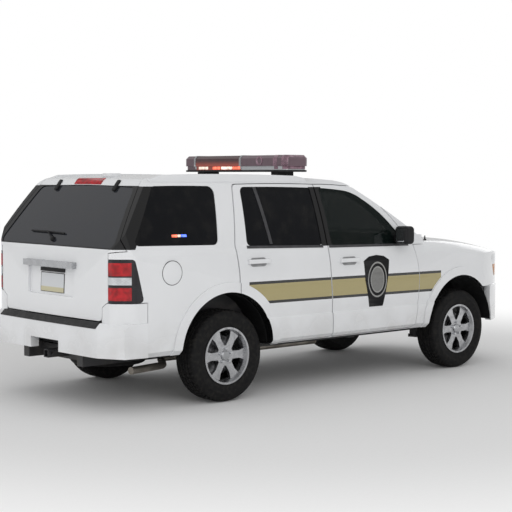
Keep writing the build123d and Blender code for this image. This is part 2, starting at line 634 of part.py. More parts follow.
def front_bumper():
    """The front bumper: a wrap-round shell with a lower air slot."""
    half = mirrored_points(FRONT_BUMPER, 1)
    half[2] = (*half[2][:2], FRONT_BUMPER_BOW, "low")
    shape = prism_z([p[:3] for p in half], FRONT_BUMPER_BOTTOM, FRONT_BUMPER_TOP)
    pocket = block(0, FRONT_BUMPER_INNER, -FRONT_POCKET_HALF, FRONT_POCKET_HALF, 0, REACH)
    room = prism_z(FRONT_ROOM, 0, REACH)
    slot = block(FRONT_AXLE, HALF, -SLOT_HALF, SLOT_HALF, SLOT_Z0, SLOT_Z1)
    return shape - pocket - room - slot - FRONT_ARCH


def grille():
    """The grille between the headlamps: a frame with level bars."""
    half = HEADLAMP_INNER_Y - SEAT_GAP
    shell = (SKIN_NOSE - Pos(-GRILLE_DEPTH, 0, 0) * SKIN_NOSE) & block(
        2000, HALF, -half, half, FRONT_BUMPER_TOP + SEAT_GAP, HOOD_LIP_Z - PANEL_GAP)
    low, high = FRONT_BUMPER_TOP + GRILLE_FRAME, HOOD_LIP_Z - GRILLE_FRAME - PANEL_GAP
    pitch = (high - low + GRILLE_BAR) / GRILLE_SLOTS
    side = half - GRILLE_FRAME
    for i in range(GRILLE_SLOTS):
        shell -= block(FRONT_AXLE, HALF, -side, side, low + i * pitch, low + (i + 1) * pitch - GRILLE_BAR)
    return max(shell.solids(), key=lambda s: s.volume)


def headlamp():
    """The right headlamp."""
    lamp = (SKIN_NOSE - Pos(-LAMP_DEPTH, LAMP_DEPTH, 0) * SKIN_NOSE) & headlamp_region(0)
    lamp -= block(0, HALF, -REACH, 0, 0, FRONT_BUMPER_TOP + SEAT_GAP)
    return max(lamp.solids(), key=lambda s: s.volume)


def taillamp():
    """The right taillamp, round the rear corner."""
    lamp = (SKIN_CABIN - Pos(LAMP_DEPTH, LAMP_DEPTH, 0) * SKIN_CABIN) & taillamp_region(0)
    return max(lamp.solids(), key=lambda s: s.volume)


CROSS_MEMBERS = (2200.0, 250.0, -620.0, -1475.0, -2205.0)
CROSS_HALF = 40.0
# Jacking pads under the rails
JACK_X = (600.0, -900.0)
JACK_Y = (RAIL_IN + RAIL_OUT) / 2
JACK_HALF_X, JACK_HALF_Y = 40.0, 30.0
JACK_Z = 318.0
HALF_SHAFT_R = 26.0
SHAFT_R, SHAFT_Z = 36.0, 385.0


def ladder_frame():
    """Two long rails and their cross members."""
    front, rear = FRONT_BUMPER_INNER - SEAT_GAP, -BUMPER_INNER_X + SEAT_GAP
    rail = block(rear, front, -RAIL_OUT, -RAIL_IN, RAIL_BOTTOM, RAIL_TOP)
    frame = rail + mirror(rail, about=Plane.XZ)
    for x in CROSS_MEMBERS:
        frame += block(x - CROSS_HALF, x + CROSS_HALF, -RAIL_IN, RAIL_IN, RAIL_BOTTOM + 10, RAIL_TOP - 10)
    for x in JACK_X:
        for y in (-JACK_Y, JACK_Y):
            y0, y1 = y - JACK_HALF_Y, y + JACK_HALF_Y
            frame += block(x - JACK_HALF_X, x + JACK_HALF_X, y0, y1, JACK_Z, RAIL_BOTTOM + 10)
    frame -= tube_y(REAR_AXLE, TYRE_R, HALF_SHAFT_R + 20, -REACH, REACH)
    tunnel = Pos(0, 0, SHAFT_Z) * Rot(0, 90, 0) * Cylinder(SHAFT_R + 12, 2400)
    return frame - tunnel


FIREWALL, FIREWALL_TOP = 20.0, 1170.0


def floor_pan():
    """The floor with its firewall, rear sill and rear wheel tubs."""
    inside = TRIM_IN
    front, rear = COWL_REAR - SEAT_GAP, TAIL_X + GATE_LOW + 4
    floor = block(rear, front, -REACH, REACH, FLOOR_BOTTOM, FLOOR_TOP)
    floor += block(front - FIREWALL, front, -REACH, REACH, FLOOR_BOTTOM, FIREWALL_TOP)
    floor += block(rear, rear + FIREWALL, -REACH, REACH, FLOOR_BOTTOM, GATE_BOTTOM - PANEL_GAP)
    x = ARCHES["rear"]
    for side in (-1, 1):
        outer, inner = side * REACH, side * TUB_INNER_Y
        floor += tube_y(x, ARCH_Z, ARCH_R + TUB_WALL, outer, inner) & block(
            -HALF, HALF, -REACH, REACH, FLOOR_BOTTOM, REACH)
        floor -= tube_y(x, ARCH_Z, ARCH_R, outer, inner + side * TUB_WALL)
    return floor & inside


ENGINE_X0, ENGINE_X1 = 1070.0, 1780.0
ENGINE_HALF, ENGINE_TOP = 250.0, 1060.0
GEARBOX_X0, GEARBOX_HALF, GEARBOX_Z0 = 380.0, 140.0, 300.0


def engine():
    """Engine and gearbox as one block, on arms to the frame rails."""
    mass = block(ENGINE_X0, ENGINE_X1, -ENGINE_HALF, ENGINE_HALF, RAIL_TOP + 20, ENGINE_TOP)
    mass += block(GEARBOX_X0, ENGINE_X0, -GEARBOX_HALF, GEARBOX_HALF, GEARBOX_Z0, RAIL_TOP - 4)
    mass += block(ENGINE_X0 - 10, ENGINE_X0 + 110, -GEARBOX_HALF, GEARBOX_HALF, GEARBOX_Z0, RAIL_TOP + 150)
    arm_x = (ENGINE_X0 + ENGINE_X1) / 2
    mass += block(arm_x - CROSS_HALF, arm_x + CROSS_HALF, -JACK_Y, JACK_Y, RAIL_TOP + SEAT_GAP, RAIL_TOP + 70)
    return mass


RADIATOR_X0, RADIATOR_X1, RADIATOR_TOP = 2262.0, 2300.0, 970.0


def radiator_panel():
    """The upright carrier behind the grille."""
    return block(RADIATOR_X0, RADIATOR_X1, -RAIL_OUT, RAIL_OUT, RAIL_TOP + SEAT_GAP, RADIATOR_TOP)


LOWER_ARM_Z0, LOWER_ARM_Z1 = 250.0, 280.0
UPPER_ARM_Z0, UPPER_ARM_Z1 = 500.0, 524.0
ARM_TIP_HALF, ARM_ROOT_HALF = 30.0, 110.0


def arm(x, z0, z1):
    """A right wishbone in plan, wide at the frame and narrow at the ball joint."""
    tip = -KINGPIN_Y - 24
    points = [(x - ARM_ROOT_HALF, -RAIL_IN, 0), (x - ARM_TIP_HALF, -540, 0), (x - ARM_TIP_HALF, tip, 0),
              (x + ARM_TIP_HALF, tip, 0), (x + ARM_TIP_HALF, -540, 0), (x + ARM_ROOT_HALF, -RAIL_IN, 0)]
    return prism_z(points, z0, z1)


def front_suspension():
    """Upper and lower arms on their frame brackets, four solids."""
    x = FRONT_AXLE
    low = arm(x, LOWER_ARM_Z0, LOWER_ARM_Z1)
    low += block(x - 90, x + 90, -RAIL_OUT, -RAIL_IN, LOWER_ARM_Z0, RAIL_BOTTOM - SEAT_GAP)
    high = arm(x, UPPER_ARM_Z0, UPPER_ARM_Z1)
    high += block(x - 90, x + 90, -RAIL_OUT, -RAIL_IN, RAIL_TOP + SEAT_GAP, UPPER_ARM_Z1)
    return symmetric(Compound(children=[low.solid(), high.solid()]))


HUB_BACK = 20.0  # inboard face of the wheel's hub, outboard of the wheel's middle plane
HUB_FLANGE_R = 78.0
UPRIGHT_HALF = 28.0


def upright(x, middle, z0, z1):
    """A right knuckle: an upright with a hub flange and spindle for the wheel."""
    half = UPRIGHT_HALF
    post = block(x - half, x + half, -KINGPIN_Y - half, -KINGPIN_Y + half, z0, z1)
    flange = tube_y(x, TYRE_R, HUB_FLANGE_R, -KINGPIN_Y, -middle - HUB_BACK + SEAT_GAP)
    spindle = tube_y(x, TYRE_R, SPINDLE_R, -KINGPIN_Y, -middle - SPOKE_FACE + 10)
    return post + flange + spindle


def knuckle():
    """The right steered knuckle, between the two ball joints."""
    return upright(FRONT_AXLE, TRACK_FRONT / 2, LOWER_ARM_Z1 + SEAT_GAP, UPPER_ARM_Z0 - SEAT_GAP)


AXLE_CASE_R, AXLE_CASE_HALF = 120.0, 130.0
AXLE_BAR_X1 = 150.0
AXLE_LINK_Z, AXLE_LINK_HALF = 272.0, 20.0


def rear_axle():
    """Final drive with its cross bar, half shafts, links and the rear uprights."""
    x = REAR_AXLE
    case = tube_y(x, TYRE_R, AXLE_CASE_R, -AXLE_CASE_HALF, AXLE_CASE_HALF)
    case &= block(-HALF, HALF, -REACH, REACH, 0, RAIL_TOP)
    bar_half = RAIL_IN - SEAT_GAP
    case += block(x + 60, x + AXLE_BAR_X1, -bar_half, bar_half, RAIL_BOTTOM + 15, RAIL_TOP - 15)
    case += tube_y(x, TYRE_R, HALF_SHAFT_R, -KINGPIN_Y, KINGPIN_Y)
    low, half = AXLE_LINK_Z, AXLE_LINK_HALF
    corner = upright(x, TRACK_REAR / 2, low, TYRE_R + 100)
    corner += block(x - half, x + half, -KINGPIN_Y, -RAIL_IN, low, low + 28)
    corner += block(x - half, x + half, -RAIL_OUT, -RAIL_IN, low, RAIL_BOTTOM - SEAT_GAP)
    return case + corner + mirror(corner, about=Plane.XZ)


def wheel_frame(axle, track, side):
    """Wheel coordinates: local Z points outboard along the axle."""
    y = side * track / 2
    return Plane(origin=(axle, y, TYRE_R), x_dir=(1, 0, 0), z_dir=(0, side, 0))


def tyre():
    """A tyre on its bead, about local Z."""
    half = [(RIM_SEAT_R + SEAT_GAP, -BEAD_HALF, 0), (RIM_FLANGE_R + 6, -BEAD_HALF - 2, 4), (305, -TYRE_HALF, 3),
            (346, -TYRE_HALF + 7, 6), (TYRE_R - 4, -TYRE_HALF + 34, 0), (TYRE_R, -TYRE_HALF + 60, 0)]
    points = [*half, *[(r, -w, half[i - 1][2]) for i, (r, w, _) in reversed(list(enumerate(half)))]]
    return revolve(outline(points, Plane.XZ), Axis.Z)


# A spoke in the wheel's plane, parallel and then wider at the barrel: distance out, half width, bulge
SPOKE = [(40.0, -33.0, 0.0), (146.0, -30.0, 0.0), (BARREL_R + 6, -48.0, 0.0), (BARREL_R + 6, 48.0, 0.0),
         (146.0, 30.0, 0.0), (40.0, 33.0, 0.0)]


def rim():
    """A six-spoke rim with a stepped barrel, about local Z."""
    barrel = [
        (BARREL_R, -RIM_HALF, 0), (RIM_FLANGE_R, -RIM_HALF, 0), (RIM_FLANGE_R, -BEAD_HALF - 2 - SEAT_GAP, 0),
        (RIM_SEAT_R, -BEAD_HALF - 2 - SEAT_GAP, 0), (RIM_SEAT_R, BEAD_HALF + 2 + SEAT_GAP, 0),
        (RIM_FLANGE_R, BEAD_HALF + 2 + SEAT_GAP, 0), (RIM_FLANGE_R, RIM_HALF, 0), (RIM_SEAT_R, RIM_HALF, 0),
        (BARREL_R + 4, SPOKE_FACE, 0), (BARREL_R, SPOKE_FACE - SPOKE_DEPTH, 0)]
    shape = revolve(outline(barrel, Plane.XZ), Axis.Z)
    depth = SPOKE_FACE - HUB_BACK
    shape += Pos(0, 0, HUB_BACK + depth / 2) * Cylinder(HUB_R, depth)
    web = Plane.XY.offset(SPOKE_FACE - SPOKE_DEPTH) * outline(SPOKE, Plane.XY)
    for i in range(SPOKES):
        shape += Rot(0, 0, SPOKE_TURN + i * 360 / SPOKES) * extrude(web, amount=SPOKE_DEPTH)
    return shape - Cylinder(SPINDLE_R + SPINDLE_CLEAR, REACH)


MIRROR_X0, MIRROR_X1 = 588.0, 716.0
MIRROR_Z0, MIRROR_Z1 = 1206.0, 1366.0
MIRROR_OUT = 1086.0
MIRROR_IN = 940.0
MIRROR_R = 34.0
MIRROR_FOOT_Z = (1222.0, 1286.0)


def mirror_housing():
    """The right door mirror: a rounded housing on a foot at the door's front corner."""
    shell = block(MIRROR_X0, MIRROR_X1, -MIRROR_OUT, -MIRROR_IN, MIRROR_Z0, MIRROR_Z1)
    shell = fillet(shell.edges(), MIRROR_R)
    foot = block(MIRROR_X0 + 50, MIRROR_X1 + 30, -MIRROR_IN - 40, -BODY_HALF_WIDTH + 100, *MIRROR_FOOT_Z)
    foot -= CLEAR_SKIN
    return max((shell + foot).solids(), key=lambda s: s.volume)


RAIL_Y, RAIL_W = 704.0, 42.0
ROOF_RAIL = [(-1972.0, 1740.0, 0.0), (-290.0, 1740.0, 0.0), (-300.0, 1786.0, 0.0), (-420.0, 1808.0, 3.0),
             (-1200.0, 1820.0, 3.0), (-1850.0, 1810.0, 0.0), (-1960.0, 1776.0, 0.0)]


def roof_rail():
    """The right roof rail, seated on the roof."""
    rail = prism_y(ROOF_RAIL, -RAIL_Y + RAIL_W / 2, -RAIL_Y - RAIL_W / 2)
    rail -= CLEAR_SKIN
    return max(rail.solids(), key=lambda s: s.volume)


BAR_X0, BAR_X1 = -495.0, -225.0
BAR_HALF = 696.0
BAR_BASE_Z0, BAR_BASE_Z1 = 1842.0, 1858.0
BAR_TIER_Z, BAR_TOP = 1893.0, 1985.0
BAR_CORNER_R = 55.0
BAR_STEP = 14.0  # the lower lens row stands in from the upper one
BAR_CHAMFER = 26.0
BAR_FOOT_Y, BAR_FOOT_HALF = 500.0, 45.0


def lightbar_base():
    """The lightbar's deck on two feet."""
    deck = block(BAR_X0, BAR_X1, -BAR_HALF, BAR_HALF, BAR_BASE_Z0, BAR_BASE_Z1)
    deck = fillet(deck.edges().filter_by(Axis.Z), BAR_CORNER_R)
    for y in (-BAR_FOOT_Y, BAR_FOOT_Y):
        foot = block(BAR_X0 + BAR_FOOT_HALF, BAR_X1 - BAR_FOOT_HALF, y - BAR_FOOT_HALF, y + BAR_FOOT_HALF,
                     HEADER_Z, BAR_BASE_Z1 - 5)
        deck += foot - CLEAR_SKIN
    return max(deck.solids(), key=lambda s: s.volume)


def bar_tier(inset, low, high):
    """The right half of one lens row, rounded at its outer corners."""
    row = block(BAR_X0 + inset, BAR_X1 - inset, -BAR_HALF + inset, -SEAT_GAP, low, high)
    return fillet(row.edges().filter_by(Axis.Z).group_by(Axis.Y)[0], BAR_CORNER_R - inset)


def lightbar_lenses():
    """The two lens halves over the deck, a lower row of lamps under a taller lens."""
    lens = bar_tier(0.0, BAR_TIER_Z, BAR_TOP)
    lens = chamfer(lens.faces().sort_by(Axis.Z)[-1].edges().filter_by(lambda e: e.center().Y < -5), BAR_CHAMFER)
    return symmetric(lens + bar_tier(BAR_STEP, BAR_BASE_Z1 + SEAT_GAP, BAR_TIER_Z + 5))


SEAT_HALF = 260.0
SEAT_Y = 375.0
SEAT_FOOT = FLOOR_TOP + SEAT_GAP
# Seats from the side: x, z, bulge
FRONT_SEAT = [(-60.0, SEAT_FOOT, 0), (330.0, SEAT_FOOT, 0), (400.0, 690.0, 0), (380.0, 790.0, 0),
              (-60.0, 750.0, 0), (-190.0, 1340.0, 0), (-170.0, 1520.0, 0), (-250.0, 1530.0, 0),
              (-290.0, 1340.0, 0), (-180.0, 700.0, 0)]
REAR_SEAT = [(-1000.0, SEAT_FOOT, 0), (-570.0, SEAT_FOOT, 0), (-510.0, 700.0, 0), (-530.0, 800.0, 0),
             (-960.0, 760.0, 0), (-1110.0, 1330.0, 0), (-1210.0, 1330.0, 0), (-1090.0, 700.0, 0)]
REAR_SEAT_HALF = 620.0


def front_seat():
    """The right front seat."""
    return prism_y(FRONT_SEAT, -SEAT_Y + SEAT_HALF, -SEAT_Y - SEAT_HALF, {3: 40.0, 6: 30.0, 7: 30.0})


def rear_seat():
    """The rear bench."""
    return prism_y(REAR_SEAT, REAR_SEAT_HALF, -REAR_SEAT_HALF, {3: 40.0, 5: 40.0, 6: 40.0})


DASH_FRONT = COWL_REAR - FIREWALL - 2 * SEAT_GAP
DASH_HALF = 740.0
DASHBOARD = [(760.0, 820.0, 0), (DASH_FRONT, 820.0, 0), (DASH_FRONT, 1186.0, 0), (780.0, 1176.0, 8),
             (690.0, 1090.0, 0)]


def dashboard():
    """The dashboard across the cabin."""
    return prism_y(DASHBOARD, DASH_HALF, -DASH_HALF, {3: 30.0, 4: 40.0})


WHEEL_X, WHEEL_Y, WHEEL_Z = 560.0, 375.0, 1030.0
WHEEL_R, WHEEL_GRIP_R = 185.0, 15.0
WHEEL_TILT = 62.0


def steering_wheel():
    """The steering wheel on its column."""
    shape = Torus(WHEEL_R, WHEEL_GRIP_R) + Cylinder(60, 40) + Box(2 * WHEEL_R, 50, 18)
    shape += Pos(0, 0, 110) * Cylinder(28, 220)
    return Pos(WHEEL_X, WHEEL_Y, WHEEL_Z) * Rot(0, 180 - WHEEL_TILT, 0) * shape - dashboard()


EXHAUST_R = 29.0
EXHAUST_Z = 296.0
# Columns: x, y of the pipe's corners, from the gearbox to the tail
EXHAUST_ROUTE = [(300.0, -230.0), (-1480.0, -230.0), (-1700.0, -560.0), (-2080.0, -640.0)]
EXHAUST_BEND_R = 140.0
MUFFLER_X0, MUFFLER_X1 = -1080.0, -690.0
MUFFLER_Y0, MUFFLER_Y1 = -320.0, -130.0
MUFFLER_R = 40.0
HANGER_X, HANGER_HALF = MUFFLER_X0 + 120.0, 20.0


def exhaust():
    """The exhaust pipe with its muffler and a hanger to the floor."""
    path = FilletPolyline([(x, y, EXHAUST_Z) for x, y in EXHAUST_ROUTE], radius=EXHAUST_BEND_R)
    start = Plane(origin=path @ 0, z_dir=path % 0)
    pipe = sweep(start * Circle(EXHAUST_R), path=path)
    can = block(MUFFLER_X0, MUFFLER_X1, MUFFLER_Y0, MUFFLER_Y1, EXHAUST_Z - MUFFLER_R, RAIL_TOP - 60)
    can = fillet(can.edges().filter_by(Axis.X), MUFFLER_R)
    middle = EXHAUST_ROUTE[0][1]
    hanger = block(HANGER_X - HANGER_HALF, HANGER_X + HANGER_HALF, middle - HANGER_HALF, middle + HANGER_HALF,
                   EXHAUST_Z, FLOOR_BOTTOM - SEAT_GAP)
    return pipe + can + hanger


TANK_X0, TANK_X1 = -560.0, 120.0
TANK_Y0, TANK_Y1, TANK_Z0 = 60.0, 330.0, 282.0


def fuel_tank():
    """The fuel tank under the floor."""
    tank = block(TANK_X0, TANK_X1, TANK_Y0, TANK_Y1, TANK_Z0, FLOOR_BOTTOM - SEAT_GAP)
    return fillet(tank.edges().filter_by(Axis.X), 30.0)


SPARE_X, SPARE_R, SPARE_H = -1838.0, 318.0, 176.0


def spare_wheel():
    """The spare wheel hung flat under the cargo floor."""
    top = FLOOR_BOTTOM - SEAT_GAP
    wheel = Pos(SPARE_X, 0, top - SPARE_H / 2) * Cylinder(SPARE_R, SPARE_H)
    wheel = fillet(wheel.edges(), 50.0)
    return wheel - Pos(SPARE_X, 0, top - SPARE_H) * Cylinder(170, 120)


def drive_shaft():
    """The propeller shaft from the gearbox to the final drive."""
    front = GEARBOX_X0 - SEAT_GAP
    length = front - (REAR_AXLE + AXLE_BAR_X1 + SEAT_GAP)
    return Pos(front - length / 2, 0, SHAFT_Z) * Rot(0, 90, 0) * Cylinder(SHAFT_R, length)


RECEIVER_OUT, RECEIVER_IN = 64.0, 51.0
RECEIVER_Z = 398.0
RECEIVER_X0 = -2440.0
HITCH_PIN_R = 8.0
HITCH_PIN_X = RECEIVER_X0 + 36.0


def hitch_receiver():
    """The square trailer receiver on the frame's last cross member, bored for its pin."""
    front = CROSS_MEMBERS[-1] - CROSS_HALF - SEAT_GAP
    half = RECEIVER_OUT / 2
    tube = block(RECEIVER_X0, front, -half, half, RECEIVER_Z - half, RECEIVER_Z + half)
    socket = RECEIVER_IN / 2
    tube -= block(RECEIVER_X0, front - 8, -socket, socket, RECEIVER_Z - socket, RECEIVER_Z + socket)
    return tube - tube_y(HITCH_PIN_X, RECEIVER_Z, HITCH_PIN_R, -REACH, REACH)


GRIP_HALF = 352.0
GRIP_Z = (1085.0, 1134.0)


def liftgate_handle():
    """The grip bar over the plate recess."""
    bar = block(TAIL_X - 26, TAIL_X + LAMP_DEPTH, -GRIP_HALF, GRIP_HALF, *GRIP_Z) - CLEAR_SKIN
    return max(bar.solids(), key=lambda s: s.volume)


def nodes():
    """Every node by name, with its shape in the car's frame."""
    side, front, rear = body_side(), door(
        FRONT_DOOR, FRONT_DOOR_FILLETS, FRONT_WINDOW, FRONT_WINDOW_FILLETS, "front"), door(
        REAR_DOOR, REAR_DOOR_FILLETS, REAR_WINDOW, REAR_WINDOW_FILLETS, "rear")
    pairs = {
        "body_side": side,
        "front_door": front,
        "rear_door": rear,
        "front_door_glass": pane(FRONT_WINDOW, FRONT_WINDOW_FILLETS),
        "rear_door_glass": pane(REAR_WINDOW, REAR_WINDOW_FILLETS),
        "mirror": mirror_housing(),
        "knuckle": knuckle(),
    }
    made = {}
    for name, right in pairs.items():
        made[name + "_right"] = right
        made[name + "_left"] = mirror(right, about=Plane.XZ)
    made |= {
        "front_fenders": symmetric(fender()),
        "quarter_windows": symmetric(pane(QUARTER_WINDOW, QUARTER_WINDOW_FILLETS)),
        "headlamps": symmetric(headlamp()),
        "taillamps": symmetric(taillamp()),
        "roof_rails": symmetric(roof_rail()),
        "front_seats": symmetric(front_seat()),
    }
    singles = (roof_panel, windshield, cowl_panel, hood, liftgate, liftgate_glass, liftgate_handle, rear_bumper,
               front_bumper, grille, ladder_frame, floor_pan, engine, radiator_panel, front_suspension, rear_axle,
               lightbar_base, lightbar_lenses, rear_seat, dashboard, steering_wheel, exhaust, fuel_tank,
               spare_wheel, drive_shaft, hitch_receiver)
    made |= {make.__name__: make() for make in singles}
    for end, axle, track in (("front", FRONT_AXLE, TRACK_FRONT), ("rear", REAR_AXLE, TRACK_REAR)):
        for side_name, side_sign in (("right", -1), ("left", 1)):
            place = wheel_frame(axle, track, side_sign)
            made[f"tyre_{end}_{side_name}"] = place * tyre()
            made[f"rim_{end}_{side_name}"] = place * rim()
    return made


if __name__ == "__main__":
    os.makedirs("parts", exist_ok=True)
    for node, shape in nodes().items():
        export_step(shape, f"parts/{node}.step")
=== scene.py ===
"""Police SUV: the finishes, trim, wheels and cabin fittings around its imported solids.  Metres; +X forward,
+Y left, +Z up, ground at Z = 0."""
import math

import bmesh
import bpy
from bpy.props import FloatProperty, FloatVectorProperty, PointerProperty
from mathutils import Matrix, Vector


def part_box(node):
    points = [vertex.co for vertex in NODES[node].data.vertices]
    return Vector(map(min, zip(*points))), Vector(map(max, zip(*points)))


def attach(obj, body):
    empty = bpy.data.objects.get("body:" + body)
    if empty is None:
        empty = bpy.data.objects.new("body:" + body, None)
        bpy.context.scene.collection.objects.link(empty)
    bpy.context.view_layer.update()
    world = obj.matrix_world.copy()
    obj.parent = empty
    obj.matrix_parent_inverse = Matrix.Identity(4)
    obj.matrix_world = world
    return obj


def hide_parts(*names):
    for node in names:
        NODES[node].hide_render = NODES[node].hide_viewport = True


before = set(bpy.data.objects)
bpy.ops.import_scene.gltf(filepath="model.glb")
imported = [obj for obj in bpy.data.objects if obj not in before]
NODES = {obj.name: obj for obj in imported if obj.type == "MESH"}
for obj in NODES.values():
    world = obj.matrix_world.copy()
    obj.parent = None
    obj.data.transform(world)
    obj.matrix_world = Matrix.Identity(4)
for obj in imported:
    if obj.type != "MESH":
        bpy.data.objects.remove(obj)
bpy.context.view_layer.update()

bl_info = {
    "name": "Police SUV",
    "version": (1, 0, 0),
    "blender": (4, 5, 0),
    "location": "3D View > Sidebar > SUV",
    "description": "Dresses the packed SUV with its paint, glass, trim, wheels and cabin",
    "category": "Object",
}

SIDES = {"right": -1, "left": 1}
ENDS = ("front", "rear")

# Directions, where lines from outside the car start, the tip of a spun piece, and the angle of a sharp edge
FORWARD, REAR, RIGHT, DOWN = (1, 0, 0), (-1, 0, 0), (0, -1, 0), (0, 0, -1)
FAR = 3
AXIS = 0.0004
SHARP = 35

# The photograph's camera
CAMERA_PLACE = (-7.930, -8.652, 1.795)
CAMERA_YAW, CAMERA_PITCH, CAMERA_ROLL = 48.276, -3.507, 0.192
CAMERA_LENS = 90.36

# Body lines that the trim follows
BELT_Z = 1.250
GLASS_TOP_Z = 1.722
ARCH_Z = 0.408
ARCH_X = {"front": 1.554, "rear": -1.334}
FLARE_R = 0.556
DRIVER_Y = 0.375

# Side stripe: its ends, and its lower and upper edges as (height at x = 0, fall per metre)
STRIPE_X = (-1.12, 1.25)
STRIPE_EDGES = ((0.7625, 0.0067), (0.9475, 0.0053))

# Blacked-out sides: edge behind the quarter window and post between the doors, as (x, z, lean per metre)
QUARTER_EDGE = (-2.206, 1.276, 0.603)
DOOR_POST = (-0.191, 1.084, -0.0693)
DOOR_POST_HALF = 0.074
DOOR_POST_Z = (1.216, 1.714)
WELL_R = 0.476
WELL_TOP_Z = ARCH_Z + 0.480

# Planes in front of which a solid's rear faces are cut off
TAIL_CUT_X, PLATE_CUT_X, STEP_CUT_X = -2.258, -2.33, -2.385

# Blank plate: its foot and top, and its face inside the dark edge
PLATE_Z = (0.881, 1.037)
PLATE_FACE_Z = (0.886, 1.031)
PLATE_FACE_HALF = 0.162
PLATE_BAND_Z = (0.927, 0.919)

# Arch liners: wall, and inner face and depth of each end's
LINER_WALL = 0.006
LINERS = {"front": (0.55, 0.350), "rear": (0.655, 0.215)}

# Outlines on the right side, as (x, z), anticlockwise seen from the right
BELTS = {
    "front": [(-0.190, 1.198), (0.812, 1.184), (0.800, 1.206), (-0.190, 1.220)],
    "rear": [(-1.115, 1.222), (-0.262, 1.202), (-0.262, 1.224), (-1.115, 1.244)],
}
HANDLES = {"front": (0.034, 1.078), "rear": (-1.014, 1.110)}
WINDOW_BAR = [(-0.859, 1.250), (-0.829, 1.250), (-0.905, 1.716), (-0.937, 1.716)]
SHIELD = [(0.288, 0.663), (0.462, 0.663), (0.520, 0.900), (0.539, 1.068), (0.470, 1.105), (0.375, 1.116),
          (0.281, 1.105), (0.212, 1.068), (0.231, 0.900)]

# Middle of the shield, and half the width and height of its two oval rings
SHIELD_MIDDLE = (0.385, 0.900)
SHIELD_OVALS = ((0.117, 0.152), (0.085, 0.113))

# Plan of the painted panel between headlamp and bumper, as (x, y)
LAMP_PANEL = [(2.310, -0.728), (2.344, -0.680), (2.378, -0.600), (2.403, -0.494), (2.360, -0.494),
              (2.335, -0.590), (2.300, -0.665), (2.268, -0.712)]

# Wire meshes of the front, as (name, x, half width, from z, to z, columns, rows)
FRONT_MESHES = (("grille_mesh", 2.306, 0.42, 0.775, 0.965, 56, 13),
                ("intake_mesh", 2.330, 0.47, 0.482, 0.588, 60, 7))

# Cells of the tail lamps, as (name, material, from z, to z)
TAIL_CELLS = (("upper", "red_lens", 1.054, 1.152), ("middle", "clear_lens", 0.986, 1.043),
              ("lower", "red_lens", 0.868, 0.966))

# Lamps at the quarter windows, as (material, from x, to x)
WINDOW_LAMPS = (("lit_red", -1.857, -1.806), ("lit_white", -1.800, -1.772), ("lit_blue", -1.766, -1.714))

# Lightbar: red part, row of cells, top of the clear row, painted glow at the red part's foot, posts' foot,
# beacon
BAR_RED_Y = (-0.10, 0.53)
BAR_ROW_Z = (1.864, 1.888)
BAR_CLEAR_TOP_Z = 1.892
BAR_PAINTED_GLOW_Z = (1.945, 1.890)
BAR_POST_Z = 1.866
BAR_BEACON = (-0.352, 1.936)

# Bands round the lightbar's lenses, as (material, thickness, from y, to y)
BAR_POSTS = (("satin", 0.003, 0.519, 0.541), ("satin", 0.003, -0.110, -0.086),
             ("bar_flute", 0.002, -0.576, -0.530), ("bar_flute", 0.002, -0.688, -0.632))

# Lit cells of the lightbar's lower row, as (material, from y, to y)
BAR_CELLS = [("lit_white", 0.358, 0.487), ("lit_red", 0.189, 0.290), ("lit_white", 0.022, 0.172),
             ("lit_red", -0.084, 0.012)]

# Padded forms of the right front seat and the bench, as (name, low corner, high corner, seams, lean)
FRONT_SEAT = (
    ("seat_cushion", (-0.050, -0.605, 0.625), (0.370, -0.145, 0.755), (-0.500, -0.250), -4.0),
    ("seat_back", (-0.090, -0.600, 0.735), (0.030, -0.150, 1.330), (-0.490, -0.260), -14.0),
    ("seat_headrest", (-0.272, -0.495, 1.375), (-0.196, -0.255, 1.505), (), -4.0),
)
BENCH = (
    ("bench_cushion", (-1.050, -0.590, 0.625), (-0.535, 0.590, 0.760), (-0.205, 0.205), -3.0),
    ("bench_back", (-1.120, -0.590, 0.735), (-1.000, 0.590, 1.295), (-0.205, 0.205), -10.0),
)

# Inner cards of the right doors, as (door, low corner, high corner); None leaves a side open
DOOR_CARDS = (("front", (-0.120, None, 0.545), (0.790, None, 1.170)),
              ("rear", (-1.100, None, 0.545), (-0.290, None, 1.185)))


def tint(name):
    """One of the user's colours, with an alpha of 1."""
    return (*getattr(bpy.context.scene.suv_colours, name), 1.0)


def size(name):
    """One of the user's sizes."""
    return getattr(bpy.context.scene.suv_sizes, name)


def count(name):
    """One of the user's sizes as a whole number."""
    return int(round(size(name)))


# Modelling


def fresh():
    """Back to object mode with nothing selected."""
    if bpy.context.mode != "OBJECT":
        bpy.ops.object.mode_set(mode="OBJECT")
    bpy.ops.object.select_all(action="DESELECT")


def hold(piece):
    """Makes a piece the only selected one, and the active one."""
    fresh()
    piece.select_set(True)
    bpy.context.view_layer.objects.active = piece


def settle(name):
    """Names a new primitive and puts its place into its mesh."""
    piece = bpy.context.object
    piece.name = name
    bpy.ops.object.transform_apply(location=True, rotation=True, scale=True)
    return piece


def block(name, low, high):
    """A box between two corners, to be shaped further."""
    fresh()
    low, high = Vector(low), Vector(high)
    bpy.ops.mesh.primitive_cube_add(size=1, location=(low + high) / 2)
    bpy.context.object.scale = high - low
    return settle(name)


def drum(name, centre, radius, depth, turn, sides):
    """A cylinder, turned by degrees about the axes."""
    fresh()
    bpy.ops.mesh.primitive_cylinder_add(vertices=sides, radius=radius, depth=depth, location=centre,
                                        rotation=[math.radians(a) for a in turn])
    return settle(name)


def applied(piece, kind, **settings):
    """Adds a modifier and applies it."""
    modifier = piece.modifiers.new(kind.title(), kind)
    for key, value in settings.items():
        setattr(modifier, key, value)
    hold(piece)
    bpy.ops.object.modifier_apply(modifier=modifier.name)
    return piece


def rounded(piece, width, segments=2):
    """Rounds a piece's sharp edges."""
    return applied(piece, "BEVEL", width=width, segments=segments, limit_method="ANGLE",
                   angle_limit=math.radians(SHARP))


